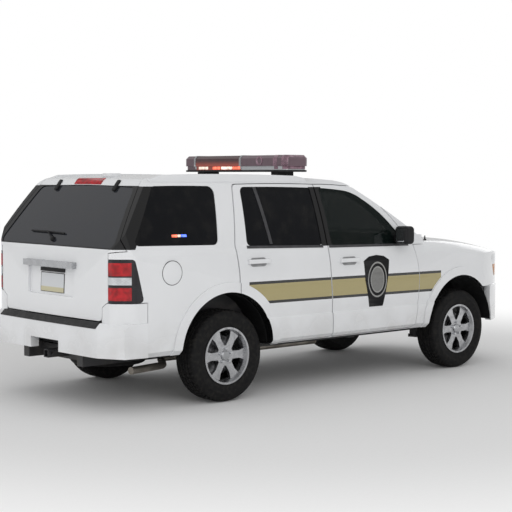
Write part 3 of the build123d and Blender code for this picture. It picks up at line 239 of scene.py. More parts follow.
def edit(piece, test=None):
    """Opens a piece in edit mode with all faces selected, or those whose centre and normal pass a test."""
    hold(piece)
    bpy.ops.object.mode_set(mode="EDIT")
    bpy.ops.mesh.select_mode(type="FACE")
    bpy.ops.mesh.select_all(action="SELECT" if test is None else "DESELECT")
    if test is not None:
        mesh = bmesh.from_edit_mesh(piece.data)
        for face in mesh.faces:
            face.select_set(bool(test(face.calc_center_median(), face.normal)))
        bmesh.update_edit_mesh(piece.data)


def closed(piece):
    """Merges doubled points and turns the faces outwards."""
    edit(piece)
    bpy.ops.mesh.remove_doubles(threshold=1e-5)
    bpy.ops.mesh.normals_make_consistent(inside=False)
    fresh()
    return piece


def sheet_cut(name, points, depth, place):
    """A flat outline pushed out along its own Z and set in its place by a matrix."""
    fresh()
    bpy.ops.mesh.primitive_circle_add(vertices=len(points), radius=1, fill_type="NGON")
    piece = bpy.context.object
    piece.name = name
    for vertex, (u, v) in zip(piece.data.vertices, points):
        vertex.co = (u, v, 0)
    edit(piece)
    bpy.ops.mesh.extrude_region_move(TRANSFORM_OT_translate={"value": (0, 0, depth)})
    fresh()
    piece.data.transform(place)
    return closed(piece)


def lathe(name, profile, place, steps):
    """A closed profile of (radius, along) points spun about its own Z and set in its place by a matrix."""
    fresh()
    bpy.ops.mesh.primitive_circle_add(vertices=len(profile), radius=1, fill_type="NOTHING")
    piece = bpy.context.object
    piece.name = name
    for vertex, (radius, along) in zip(piece.data.vertices, profile):
        vertex.co = (radius, 0, along)
    hold(piece)
    bpy.ops.object.mode_set(mode="EDIT")
    bpy.ops.mesh.select_all(action="SELECT")
    bpy.ops.mesh.spin(steps=steps, angle=2 * math.pi, center=(0, 0, 0), axis=(0, 0, 1))
    fresh()
    piece.data.transform(place)
    return closed(piece)


def rod(name, points, radius):
    """A round bar along a line of points, with smooth bends."""
    fresh()
    curve = bpy.data.curves.new(name, "CURVE")
    curve.dimensions = "3D"
    curve.bevel_depth = radius
    curve.bevel_resolution = 4
    curve.use_fill_caps = True
    kind = "NURBS" if len(points) > 2 else "POLY"
    spline = curve.splines.new(kind)
    spline.points.add(len(points) - 1)
    for knot, point in zip(spline.points, points):
        knot.co = (*point, 1)
    if kind == "NURBS":
        spline.order_u = 3
        spline.use_endpoint_u = True
    piece = bpy.data.objects.new(name, curve)
    bpy.context.scene.collection.objects.link(piece)
    hold(piece)
    bpy.ops.object.convert(target="MESH")
    return bpy.context.object


def patch(name, node, planes, thickness, facing=None):
    """A skin cut from a solid's surface by planes of (point, normal): what lies behind any of them goes."""
    source = NODES[node]
    fresh()
    piece = bpy.data.objects.new(name, source.data.copy())
    bpy.context.scene.collection.objects.link(piece)
    piece.data.materials.clear()
    edit(piece)
    bpy.ops.mesh.remove_doubles(threshold=1e-5)
    for point, normal in planes:
        bpy.ops.mesh.select_all(action="SELECT")
        bpy.ops.mesh.bisect(plane_co=point, plane_no=normal, clear_inner=True)
    if facing is not None:
        edit(piece, lambda centre, normal: normal.dot(Vector(facing)) < 0.35)
        bpy.ops.mesh.delete(type="FACE")
    fresh()
    if not piece.data.polygons:
        raise RuntimeError(f"{name} has no faces left of {node}")
    return applied(piece, "SOLIDIFY", thickness=thickness, offset=1.0, use_even_offset=False)


def box_planes(low, high):
    """Cutting planes that keep what lies between two corners; None leaves a side open."""
    planes = []
    for axis in range(3):
        normal = Vector((0, 0, 0))
        normal[axis] = 1
        if low[axis] is not None:
            planes.append((normal * low[axis], normal.copy()))
        if high[axis] is not None:
            planes.append((normal * high[axis], -normal))
    return planes


def side_planes(points):
    """Cutting planes that keep what lies inside a convex outline of the right side."""
    planes = []
    for (x0, z0), (x1, z1) in zip(points, points[1:] + points[:1]):
        planes.append(((x0, 0, z0), Vector((z0 - z1, 0, x1 - x0)).normalized()))
    return planes


def twin(piece, name, place):
    """A copy of a piece with its own mesh, moved by a matrix."""
    copy = piece.copy()
    copy.data = piece.data.copy()
    copy.name = name
    copy.parent = None
    bpy.context.scene.collection.objects.link(copy)
    copy.data.transform(place)
    if place.determinant() < 0:
        edit(copy)
        bpy.ops.mesh.flip_normals()
        fresh()
    return copy


MIRROR = Matrix.Diagonal((1, -1, 1, 1))


def joined(name, pieces):
    """Several meshes as one piece."""
    fresh()
    for piece in pieces:
        piece.select_set(True)
    bpy.context.view_layer.objects.active = pieces[0]
    bpy.ops.object.join()
    pieces[0].name = name
    return pieces[0]


def dress(piece, finish, body="body", angle=SHARP):
    """Smooths a finished piece, gives it its material and slot and lets it ride on a body."""
    hold(piece)
    bpy.ops.object.shade_smooth_by_angle(angle=math.radians(angle))
    piece.data.materials.clear()
    piece.data.materials.append(material(finish))
    fresh()
    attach(piece, body)


def landing(node, start, ahead):
    """Where a line from a point first meets a solid, and the surface's normal there."""
    met, place, normal, _ = NODES[node].ray_cast(Vector(start), Vector(ahead).normalized())
    if not met:
        raise RuntimeError(f"no surface of {node} ahead of {tuple(start)}")
    return place, normal


def off_surface(node, start, ahead, gap):
    """A point that stands off a solid by a gap, where a line from a point first meets it."""
    place, normal = landing(node, start, ahead)
    return place + normal * gap


def facing_place(place, normal):
    """A matrix at a surface point: Z along the normal, Y as near to upright as it can be."""
    out = Vector(normal).normalized()
    across = Vector((0, 0, 1)).cross(out).normalized()
    turn = Matrix((across, out.cross(across), out)).transposed().to_4x4()
    return Matrix.Translation(place) @ turn


def right_side(x, y, z):
    """A matrix for outlines of the right side: X forward, Y up, Z outboard."""
    return Matrix.Translation((x, y, z)) @ Matrix.Rotation(math.radians(90), 4, "X")


def arc_band(inner, outer, angles):
    """The outline of a part of a ring, over angles in degrees."""
    turns = [math.radians(angle) for angle in angles]
    points = [(outer * math.cos(turn), outer * math.sin(turn)) for turn in turns]
    return points + [(inner * math.cos(turn), inner * math.sin(turn)) for turn in reversed(turns)]


def soft_box(half_u, half_v, radius):
    """The outline of a rectangle with round corners."""
    steps = 5
    points = []
    for quarter, (side_u, side_v) in enumerate(((1, 1), (-1, 1), (-1, -1), (1, -1))):
        for i in range(steps + 1):
            turn = math.pi / 2 * (quarter + i / steps)
            points.append((side_u * (half_u - radius) + radius * math.cos(turn),
                           side_v * (half_v - radius) + radius * math.sin(turn)))
    return points


def pair(piece, name, finish, body="body"):
    """Dresses a right-hand piece and its mirror image; a {} in the body's name takes the side."""
    other = twin(piece, name + "_left", MIRROR)
    piece.name = name + "_right"
    for side, half in (("right", piece), ("left", other)):
        dress(half, finish, body.format(side))


# Materials


class Field:
    """A value in a material's nodes; arithmetic on it adds Math nodes."""

    def __init__(self, tree, socket):
        self.tree = tree
        self.socket = socket

    def node(self, kind, settings=None, inputs=None, output=0):
        """Adds a node: its settings first, then the values or links of its sockets."""
        node = self.tree.nodes.new(kind)
        for key, value in (settings or {}).items():
            if key == "stops":
                ramp = node.color_ramp.elements
                ramp[0].position, ramp[0].color = value[0]
                ramp[1].position, ramp[1].color = value[-1]
                for position, colour in value[1:-1]:
                    ramp.new(position).color = colour
            else:
                setattr(node, key, value)
        for key, value in (inputs or {}).items():
            target = node.inputs[key]
            if isinstance(value, Field):
                self.tree.links.new(value.socket, target)
            else:
                target.default_value = value
        return Field(self.tree, node.outputs[output])

    def math(self, operation, first, second=0.0):
        return self.node("ShaderNodeMath", {"operation": operation}, {0: first, 1: second})

    def __add__(self, other):
        return self.math("ADD", self, other)

    __radd__ = __add__

    def __sub__(self, other):
        return self.math("SUBTRACT", self, other)

    def __rsub__(self, other):
        return self.math("SUBTRACT", other, self)

    def __mul__(self, other):
        return self.math("MULTIPLY", self, other)

    __rmul__ = __mul__

    def __truediv__(self, other):
        return self.math("DIVIDE", self, other)

    def __gt__(self, other):
        return self.math("GREATER_THAN", self, other)

    def __lt__(self, other):
        return self.math("LESS_THAN", self, other)

    def __and__(self, other):
        return self.math("MINIMUM", self, other)

    def __or__(self, other):
        return self.math("MAXIMUM", self, other)

    def size(self):
        return self.math("ABSOLUTE", self)

    def waves(self, pitch):
        """A sine wave along this value, from 0 to 1."""
        return self.swing(pitch) * 0.5 + 0.5

    def swing(self, pitch):
        """A sine wave along this value, from -1 to 1."""
        return self.math("SINE", self * (2 * math.pi / pitch))

    def power(self, exponent):
        return self.math("POWER", self, exponent)

    def ramp(self, low, high):
        """0 at low and 1 at high, smooth between them."""
        return self.node("ShaderNodeMapRange", {"interpolation_type": "SMOOTHSTEP"},
                         {"Value": self, "From Min": low, "From Max": high})

    def within(self, low, high):
        return (self > low) & (self < high)


class Finish:
    """A Principled material and the fields that its patterns start from."""

    def __init__(self, name, **constants):
        self.material = bpy.data.materials.new(name)
        self.material.use_nodes = True
        self.tree = self.material.node_tree
        self.shader = self.tree.nodes["Principled BSDF"]
        for key, value in constants.items():
            self.shader.inputs[key.replace("_", " ")].default_value = value
        start = Field(self.tree, None)
        self.place = start.node("ShaderNodeTexCoord", output="Object")
        self.x, self.y, self.z = (
            start.node("ShaderNodeSeparateXYZ", inputs={0: self.place}, output=i) for i in range(3))
        normal = start.node("ShaderNodeTexCoord", output="Normal")
        self.outboard = start.node("ShaderNodeSeparateXYZ", inputs={0: normal}, output=1) * self.y

    def noise(self, scale, detail):
        """Noise from 0 to 1, with about scale cells in a metre."""
        inputs = {"Vector": self.place, "Scale": scale, "Detail": detail}
        return self.place.node("ShaderNodeTexNoise", inputs=inputs)

    def cells(self, scale):
        return self.place.node("ShaderNodeTexVoronoi", inputs={"Vector": self.place, "Scale": scale})

    def mix(self, mask, low, high):
        """A colour that goes from low to high with a mask."""
        return mask.node("ShaderNodeMix", {"data_type": "RGBA"}, {0: mask, 6: low, 7: high}, output=2)

    def level(self, mask, low, high):
        return mask * (high - low) + low

    def bump(self, height, depth):
        return height.node("ShaderNodeBump", inputs={"Height": height, "Distance": depth, "Strength": 1.0})

    def feed(self, **fields):
        """Links fields to the shader's sockets."""
        for key, field in fields.items():
            self.tree.links.new(field.socket, self.shader.inputs[key.replace("_", " ")])
        return self.material


def shade(colour, factor):
    """A colour made lighter or darker."""
    return (*(channel * factor for channel in colour[:3]), 1.0)


def road_dust(finish):
    """Dust that thickens towards the sills and hangs in the panels' lower edges."""
    return finish.z.ramp(0.85, 0.30) * finish.noise(5.0, 5.0).ramp(0.30, 0.75) * 0.30


def from_arch(finish, end):
    """Distance from the middle of a wheel arch, seen from the side."""
    across, up = finish.x - ARCH_X[end], finish.z - ARCH_Z
    return (across * across + up * up).power(0.5)


def stripe_mask(finish):
    """The side stripe between the two wheel flares, and the thin lines along its edges."""
    x, z = finish.x, finish.z
    low, high = (height - fall * x for height, fall in STRIPE_EDGES)
    outside = x.within(*STRIPE_X)
    for end in ENDS:
        outside = outside & (from_arch(finish, end) > FLARE_R + 0.004)
    side = finish.outboard > 0.60
    edge = size("stripe_line")
    lines = z.within(low, low + edge) | z.within(high - edge, high)
    return z.within(low, high) & outside & side, lines & outside & side


def paint(name, stripes=False, blackout=None):
    """White gloss paint with road dust, and where asked the side stripe and blacked-out pillars."""
    finish = Finish(name, Coat_Weight=0.5, Coat_Roughness=0.04, Specular_IOR_Level=0.35)
    cloud = finish.noise(2.2, 4.0)
    colour = finish.mix(cloud.ramp(0.3, 0.7), shade(tint("paint"), 0.97), tint("paint"))
    dust = road_dust(finish)
    colour = finish.mix(dust, colour, tint("dust"))
    rough = finish.level(dust, 0.22, 0.75)
    if stripes:
        band, lines = stripe_mask(finish)
        flake = finish.noise(900.0, 1.0)
        gold = finish.mix(flake, shade(tint("stripe"), 0.88), shade(tint("stripe"), 1.10))
        colour = finish.mix(band, colour, gold)
        colour = finish.mix(lines, colour, tint("stripe_edge"))
    if blackout is not None:
        mask = blackout(finish)
        colour = finish.mix(mask, colour, shade(tint("trim"), 0.5))
        rough = mask * 0.10 + rough * (1 - mask)
        finish.feed(Coat_Weight=(1 - mask) * 0.5)
    peel = finish.noise(420.0, 2.0)
    return finish.feed(Base_Color=colour, Roughness=rough, Normal=finish.bump(peel, 0.00006))


def ahead_of(finish, line):
    """How far a point lies ahead of a leaning line of (x, z, lean per metre)."""
    x, z, lean = line
    return finish.x - x - (finish.z - z) * lean


def pillar_blackout(finish):
    """Pillar behind the quarter window, post between the doors, wheel wells and the panels' inner faces."""
    z = finish.z
    mask = z.within(BELT_Z, GLASS_TOP_Z) & (ahead_of(finish, QUARTER_EDGE) < 0.0)
    mask = mask | ((ahead_of(finish, DOOR_POST).size() < DOOR_POST_HALF) & z.within(*DOOR_POST_Z))
    for end in ENDS:
        mask = mask | ((z < WELL_TOP_Z) & (from_arch(finish, end) < WELL_R))
    return mask | ((finish.outboard < -0.40) & (z < BELT_Z))


def gate_blackout(finish):
    """The liftgate's frame beside its glass."""
    return finish.z.within(BELT_Z, GLASS_TOP_Z + 0.004)


def window_glass(name, colour, alpha, gloss):
    """Tinted glass with a faint film of dust."""
    finish = Finish(name, Specular_IOR_Level=gloss, Alpha=alpha)
    film = finish.noise(9.0, 4.0).ramp(0.45, 0.8)
    rough = finish.level(film, 0.02, 0.07)
    tinted = finish.mix(film * 0.25, colour, shade(tint("dust"), 0.12))
    return finish.feed(Base_Color=tinted, Roughness=rough)


def moulded(name, colour, rough=0.55, grain=900.0, depth=0.00012):
    """Moulded plastic with a fine leather-like grain."""
    finish = Finish(name, Specular_IOR_Level=0.22)
    grainy = finish.cells(grain)
    worn = finish.noise(14.0, 4.0).ramp(0.35, 0.75)
    base = finish.mix(worn, shade(colour, 0.82), shade(colour, 1.18))
    return finish.feed(Base_Color=base, Roughness=finish.level(worn, rough - 0.08, rough + 0.10),
                       Normal=finish.bump(grainy, depth))


def rubber(name):
    """Tyre rubber: sooty black with patches of dust and a fine grain."""
    finish = Finish(name, Specular_IOR_Level=0.12)
    dusty = finish.noise(30.0, 5.0).ramp(0.42, 0.72)
    base = finish.mix(dusty * 0.35, tint("rubber"), shade(tint("dust"), 0.16))
    return finish.feed(Base_Color=base, Roughness=finish.level(dusty, 0.62, 0.86),
                       Normal=finish.bump(finish.noise(700.0, 2.0), 0.0002))


def alloy(name):
    """Wheel alloy: bright outer faces with brake dust, and painted shade that darkens it towards the inside
    of the wheel.
    """
    finish = Finish(name, Metallic=1.0)
    speckle = finish.noise(160.0, 4.0)
    brake_dust = finish.noise(22.0, 5.0).ramp(0.4, 0.75)
    base = finish.mix(speckle, shade(tint("alloy"), 0.90), tint("alloy"))
    base = finish.mix(brake_dust * 0.35, base, shade(tint("alloy"), 0.45))
    # Painted shade: the alloy darkens to a seventh of its colour towards the inside of the wheel
    painted_shade_inboard = finish.y.size().ramp(0.838, 0.806)
    base = finish.mix(painted_shade_inboard, base, shade(tint("alloy"), 0.14))
    return finish.feed(Base_Color=base, Roughness=finish.level(brake_dust, 0.26, 0.46),
                       Normal=finish.bump(finish.noise(1200.0, 1.0), 0.00004))


def metal(name, colour, rough=0.4, spots=18.0, depth=0.0002, worn=0.62):
    """Bare metal with stains."""
    finish = Finish(name, Metallic=1.0)
    stain = finish.noise(spots, 5.0).ramp(0.35, 0.72)
    base = finish.mix(stain, colour, shade(colour, worn))
    return finish.feed(Base_Color=base, Roughness=finish.level(stain, rough, rough + (1 - worn) * 0.6),
                       Normal=finish.bump(finish.noise(400.0, 3.0), depth))


def chassis(name):
    """Black chassis paint under road dirt."""
    finish = Finish(name)
    dirt = finish.noise(8.0, 6.0).ramp(0.40, 0.75)
    base = finish.mix(dirt * 0.6, tint("chassis"), shade(tint("dust"), 0.35))
    return finish.feed(Base_Color=base, Roughness=finish.level(dirt, 0.45, 0.88),
                       Normal=finish.bump(finish.noise(180.0, 4.0), 0.0006))


def weave(name, colour, pitch=0.0022):
    """Woven cloth: crossed threads with a little fuzz."""
    finish = Finish(name, Sheen_Weight=0.35, Sheen_Roughness=0.5)
    threads = (finish.x + finish.z).swing(pitch) * finish.y.swing(pitch) * 0.5 + 0.5
    fuzz = finish.noise(60.0, 4.0)
    base = finish.mix(threads, shade(colour, 0.62), shade(colour, 1.2))
    base = finish.mix(fuzz.ramp(0.4, 0.8) * 0.25, base, shade(colour, 1.7))
    return finish.feed(Base_Color=base, Roughness=finish.level(fuzz, 0.82, 0.98),
                       Normal=finish.bump(threads, 0.0005))


def carpet(name):
    """Cut-pile carpet."""
    finish = Finish(name, Sheen_Weight=0.2)
    colour = tint("carpet")
    pile = finish.noise(900.0, 4.0)
    wear = finish.noise(6.0, 4.0).ramp(0.35, 0.7)
    base = finish.mix(pile, shade(colour, 0.55), shade(colour, 1.25))
    base = finish.mix(wear * 0.35, base, shade(tint("dust"), 0.3))
    return finish.feed(Base_Color=base, Roughness=finish.level(pile, 0.9, 1.0),
                       Normal=finish.bump(pile, 0.0015))


def lens(name, colour, glow=0.0, ribs=70.0, depth=0.0004, low=0.30, high=1.3):
    """A moulded lamp lens with small optics inside."""
    finish = Finish(name, Coat_Weight=0.25, Coat_Roughness=0.02, Specular_IOR_Level=0.3)
    optics = finish.y.swing(1 / ribs) * finish.z.swing(1 / ribs) * 0.5 + 0.5
    cloud = finish.noise(24.0, 2.0).ramp(0.3, 0.7)
    base = finish.mix(optics * 0.4 + cloud * 0.6, shade(colour, low), shade(colour, high))
    if glow:
        finish.shader.inputs["Emission Strength"].default_value = glow
        finish.feed(Emission_Color=base)
    return finish.feed(Base_Color=base, Roughness=finish.level(cloud, 0.06, 0.16),
                       Normal=finish.bump(optics, depth))


def shield_finish(name):
    """Black door shield with two grey oval rings and a blank centre."""
    finish = Finish(name, Specular_IOR_Level=0.15)
    across, up = finish.x - SHIELD_MIDDLE[0], finish.z - SHIELD_MIDDLE[1]

    def oval(half_width, half_height):
        u, v = across / half_width, up / half_height
        return (u * u + v * v).power(0.5)

    outer, inner = (oval(*halves) for halves in SHIELD_OVALS)
    ring = tint("shield_ring")
    flake = finish.noise(500.0, 2.0)
    colour = finish.mix(flake, shade(tint("shield"), 0.8), shade(tint("shield"), 1.2))
    colour = finish.mix(outer.within(0.94, 1.03) | inner.within(0.93, 1.03), colour, ring)
    worn = finish.mix(finish.noise(60.0, 3.0), shade(ring, 0.55), shade(ring, 0.75))
    colour = finish.mix(inner < 0.93, colour, worn)
    return finish.feed(Base_Color=colour, Roughness=finish.level(flake, 0.3, 0.45))


def plate_finish(name):
    """A blank pale plate with a yellowish lower band and a dark edge."""
    finish = Finish(name, Coat_Weight=0.2)
    grain = finish.noise(300.0, 2.0)
    colour = finish.mix(grain, shade(tint("plate"), 0.94), tint("plate"))
    colour = finish.mix(finish.z.ramp(*PLATE_BAND_Z), colour, tint("plate_band"))
    face = finish.z.within(*PLATE_FACE_Z) & (finish.y.size() < PLATE_FACE_HALF)
    colour = finish.mix(face, tint("trim"), colour)
    return finish.feed(Base_Color=colour, Roughness=finish.level(grain, 0.35, 0.5))


def bar_finish(name):
    """Lightbar lens: dark red between its posts, with a painted glow of lit red towards its foot, and smoky
    clear to either side.
    """
    finish = Finish(name, Coat_Weight=0.5, Coat_Roughness=0.03)
    flutes = finish.y.waves(0.018)
    cloud = finish.noise(16.0, 3.0)
    mottle = flutes * 0.5 + cloud * 0.5
    red = finish.mix(mottle, shade(tint("bar_red"), 0.6), shade(tint("bar_red"), 1.5))
    # Painted light: the unlit red lens lightens towards lit red at its foot, over the lit cells
    red = finish.mix(finish.z.ramp(*BAR_PAINTED_GLOW_Z) * 0.55, red, shade(tint("lit_red"), 0.7))
    clear = finish.mix(mottle, shade(tint("bar_clear"), 0.7), shade(tint("bar_clear"), 1.2))
    colour = finish.mix(finish.y.within(*BAR_RED_Y), clear, red)
    row = (finish.z < BAR_CLEAR_TOP_Z) & (finish.y < BAR_RED_Y[0])
    colour = finish.mix(row, colour, shade(tint("clear_lens"), 0.8))
    return finish.feed(Base_Color=colour, Roughness=finish.level(cloud, 0.08, 0.2),
                       Normal=finish.bump(flutes, 0.0006))


def ribbed(name):
    """Moulded black pad with ribs that run along the car."""
    finish = Finish(name)
    colour = tint("trim")
    ribs = finish.y.waves(0.012)
    worn = finish.noise(14.0, 4.0).ramp(0.35, 0.75)
    base = finish.mix(worn, shade(colour, 0.8), shade(colour, 1.4))
    return finish.feed(Base_Color=base, Roughness=finish.level(worn, 0.5, 0.7),
                       Normal=finish.bump(ribs, 0.002))


def floor_finish():
    """Pale floor that catches the shadow and fades to white away from the object."""
    finish = Finish("studio_floor", Roughness=0.9, Specular_IOR_Level=0.1)
    far = (finish.x * finish.x + finish.y * finish.y).power(0.5).ramp(3.4, 7.0)
    speck = finish.noise(40.0, 3.0)
    tree = finish.tree
    glow = far.node("ShaderNodeEmission", inputs={"Color": (1, 1, 1, 1), "Strength": 1.0})
    path = [far.node("ShaderNodeLightPath", output=name)
            for name in ("Is Camera Ray", "Is Glossy Ray", "Is Transmission Ray")]
    seen = (path[0] | path[1]) | path[2]
    finish.feed(Base_Color=finish.mix(speck, (0.80, 0.80, 0.80, 1), (0.84, 0.84, 0.84, 1)))
    shader = Field(tree, finish.shader.outputs[0])
    mixed = far.node("ShaderNodeMixShader", inputs={0: far * seen, 1: shader, 2: glow})
    tree.links.new(mixed.socket, tree.nodes["Material Output"].inputs["Surface"])
    return finish.material


_made = {}


def material(name):
    """Each of the object's materials, made when it is first asked for."""
    if name not in _made:
        _made[name] = MATERIALS[name](name)
    return _made[name]


MATERIALS = {
    "paint_plain": paint,
    "paint_side": lambda name: paint(name, stripes=True, blackout=pillar_blackout),
    "paint_gate": lambda name: paint(name, blackout=gate_blackout),
    "glass_dark": lambda name: window_glass(name, tint("dark_glass"), 0.96, 0.10),
    "glass_gate": lambda name: window_glass(name, shade(tint("dark_glass"), 4.0), 0.96, 0.45),
    "glass_door": lambda name: window_glass(name, shade(tint("clear_glass"), 0.30), 0.86, 0.10),
    "glass_clear": lambda name: window_glass(name, tint("clear_glass"), 0.45, 0.3),
    "plastic_black": lambda name: moulded(name, tint("trim")),
    "plastic_cabin": lambda name: moulded(name, tint("cabin"), 0.6, 700.0, 0.0002),
    "plastic_deep": lambda name: moulded(name, shade(tint("trim"), 0.5), 0.75),
    "bright": lambda name: metal(name, tint("bright"), 0.16, 12.0, 0.00002, 0.9),
    "satin": lambda name: metal(name, shade(tint("bright"), 0.7), 0.26, 12.0, 0.00003, 0.88),
    "tyre": rubber,
    "alloy": alloy,
    "chassis": chassis,
    "engine_cast": lambda name: metal(name, tint("cast"), 0.5, 9.0, 0.0008),
    "exhaust_steel": lambda name: metal(name, tint("exhaust"), 0.42, 7.0, 0.0003),
    "disc_iron": lambda name: metal(name, tint("cast"), 0.35, 30.0, 0.0001),
    "seat_cloth": lambda name: weave(name, tint("cloth")),
    "carpet": carpet,
    "headliner": lambda name: weave(name, tint("headliner"), 0.0030),
    "red_lens": lambda name: lens(name, tint("red_lens")),
    "clear_lens": lambda name: lens(name, tint("clear_lens"), ribs=50.0, depth=0.0001, low=0.75, high=1.1),
    "amber_lens": lambda name: lens(name, tint("amber_lens")),
    "smoked_lens": lambda name: lens(name, tint("smoked_lens"), ribs=60.0),
    "bar_lens": bar_finish,
    "bar_flute": lambda name: lens(name, shade(tint("bar_clear"), 2.4), ribs=55.0),
    "lit_red": lambda name: lens(name, tint("lit_red"), glow=1.6),
    "lit_white": lambda name: lens(name, tint("lit_white"), glow=1.0),
    "lit_blue": lambda name: lens(name, tint("lit_blue"), glow=1.6),
    "rubber_trim": lambda name: moulded(name, tint("rubber"), 0.7, 500.0, 0.0002),
    "trim_grey": lambda name: moulded(name, tint("trim_grey"), 0.45),
    "mirror_glass": lambda name: metal(name, tint("bright"), 0.03, 6.0, 0.0, 0.95),
    "step_pad": ribbed,
    "shield": shield_finish,
    "plate": plate_finish,
    # Painted shade: paint darkened to 0.42, standing for the shade in the cups behind the door handles
    "cup": lambda name: moulded(name, shade(tint("paint"), 0.42), 0.35, 300.0, 0.00002),
}

# Which material each solid wears
WEARS = {
    "paint_plain": ["roof_panel", "front_bumper", "rear_bumper", "hood", "roof_rails"],
    "paint_side": ["body_side_right", "body_side_left", "front_fenders", "front_door_right",
                   "front_door_left", "rear_door_right", "rear_door_left"],
    "paint_gate": ["liftgate"],
    "glass_dark": ["quarter_windows", "rear_door_glass_right", "rear_door_glass_left"],
    "glass_gate": ["liftgate_glass"],
    "glass_door": ["front_door_glass_right", "front_door_glass_left"],
    "glass_clear": ["windshield"],
    "plastic_black": ["mirror_right", "mirror_left", "cowl_panel", "lightbar_base", "radiator_panel"],
    "plastic_cabin": ["dashboard", "steering_wheel"],
    "satin": ["grille", "liftgate_handle"],
    "smoked_lens": ["taillamps"],
    "clear_lens": ["headlamps"],
    "bar_lens": ["lightbar_lenses"],
    "tyre": ["spare_wheel"],
    "alloy": [f"rim_{end}_{side}" for end in ENDS for side in SIDES],
    "chassis": ["ladder_frame", "front_suspension", "rear_axle", "knuckle_right", "knuckle_left",
                "hitch_receiver", "drive_shaft", "floor_pan", "fuel_tank"],
    "engine_cast": ["engine"],
    "exhaust_steel": ["exhaust"],
}


# Pieces


def wheel_place(end, side):
    """A matrix whose Z points outboard along a wheel's axle."""
    low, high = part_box(f"tyre_{end}_{side}")
    sign = SIDES[side]
    turn = Matrix.Rotation(math.radians(-90 * sign), 4, "X")
    return Matrix.Translation((low + high) / 2) @ turn


def tyre_mesh(name):
    """A tyre about its own Z: grooved profile, spun, with cross cuts pressed into its ribs."""
    tread, wide = size("tyre_radius"), size("tyre_width") / 2
    depth, groove = size("tread_depth"), size("tread_groove") / 2
    half = [(0.2145, -0.097), (0.232, -0.101), (0.240, -0.106), (0.268, -wide + 0.006), (0.300, -wide),
            (0.304, -wide - 0.0012), (0.310, -wide + 0.0005), (0.330, -wide + 0.004), (0.348, -wide + 0.010),
            (0.360, -wide + 0.020), (tread - 0.003, -wide + 0.034)]
    for middle in (-0.052, -0.0175):
        half += [(tread, middle - groove), (tread - depth, middle - groove * 0.6),
                 (tread - depth, middle + groove * 0.6), (tread, middle + groove)]
    profile = half + [(r, -w) for r, w in reversed(half)]
    blocks = count("tread_blocks")
    piece = lathe(name, profile, Matrix.Identity(4), blocks * 3)
    step = 2 * math.pi / blocks

    def cross_cut(centre, normal):
        radius = math.hypot(centre.x, centre.y)
        rib = math.floor(abs(centre.z) / 0.0175)
        turn = (math.atan2(centre.y, centre.x) + rib * step / 3) % step
        return radius > tread - 0.014 and abs(centre.z) < wide and turn < step / 3 and normal.xy.length > 0.7

    edit(piece, cross_cut)
    bpy.ops.mesh.extrude_region_shrink_fatten(TRANSFORM_OT_shrink_fatten={"value": -depth * 0.7})
    fresh()
    return piece


def mesh_panel(name, low, high, columns, rows, wire):
    """A wire mesh across the car between two corners."""
    fresh()
    bpy.ops.mesh.primitive_grid_add(x_subdivisions=columns, y_subdivisions=rows, size=1)
    piece = bpy.context.object
    piece.name = name
    low, high = Vector(low), Vector(high)
    turn = Matrix(((0, 0, 1, 0), (1, 0, 0, 0), (0, 1, 0, 0), (0, 0, 0, 1)))
    spread = Matrix.Diagonal((high.y - low.y, high.z - low.z, 1, 1))
    piece.data.transform(Matrix.Translation((low + high) / 2) @ turn @ spread)
    return applied(piece, "WIREFRAME", thickness=wire, use_replace=True)


def swell(piece, pressure=4.0, reach=0.024):
    """Blows a form up as cloth under air pressure for twenty frames; no point goes further than its reach."""
    rest = [vertex.co.copy() for vertex in piece.data.vertices]
    cloth = piece.modifiers.new("Cloth", "CLOTH")
    cloth.settings.use_pressure = True
    cloth.settings.uniform_pressure_force = pressure
    cloth.settings.effector_weights.gravity = 0.0
    cloth.settings.quality = 3
    cloth.point_cache.frame_start = 1
    cloth.point_cache.frame_end = 20
    for number in range(1, 21):
        bpy.context.scene.frame_set(number)
    hold(piece)
    bpy.ops.object.modifier_apply(modifier=cloth.name)
    bpy.context.scene.frame_set(1)
    for vertex, place in zip(piece.data.vertices, rest):
        move = vertex.co - place
        if move.length > reach:
            vertex.co = place + move.normalized() * reach


def cushion(name, low, high, seams=(), lean=0.0, voxel=0.022):
    """A padded form: a rounded block blown up as cloth, seams pressed in, leant about its foot by degrees."""
    thin = min(b - a for a, b in zip(low, high))
    piece = rounded(block(name, low, high), thin * 0.30, 3)
    applied(piece, "REMESH", mode="VOXEL", voxel_size=voxel)
    swell(piece)
    applied(piece, "SUBSURF", levels=1, render_levels=1)
    for vertex in piece.data.vertices:
        for seam in seams:
            press = 0.010 * math.exp(-((vertex.co.y - seam) / 0.011) ** 2)
            vertex.co -= vertex.normal * press
    foot = Matrix.Translation(((low[0] + high[0]) / 2, 0, low[2]))
    piece.data.transform(foot @ Matrix.Rotation(math.radians(lean), 4, "Y") @ foot.inverted())
    return piece


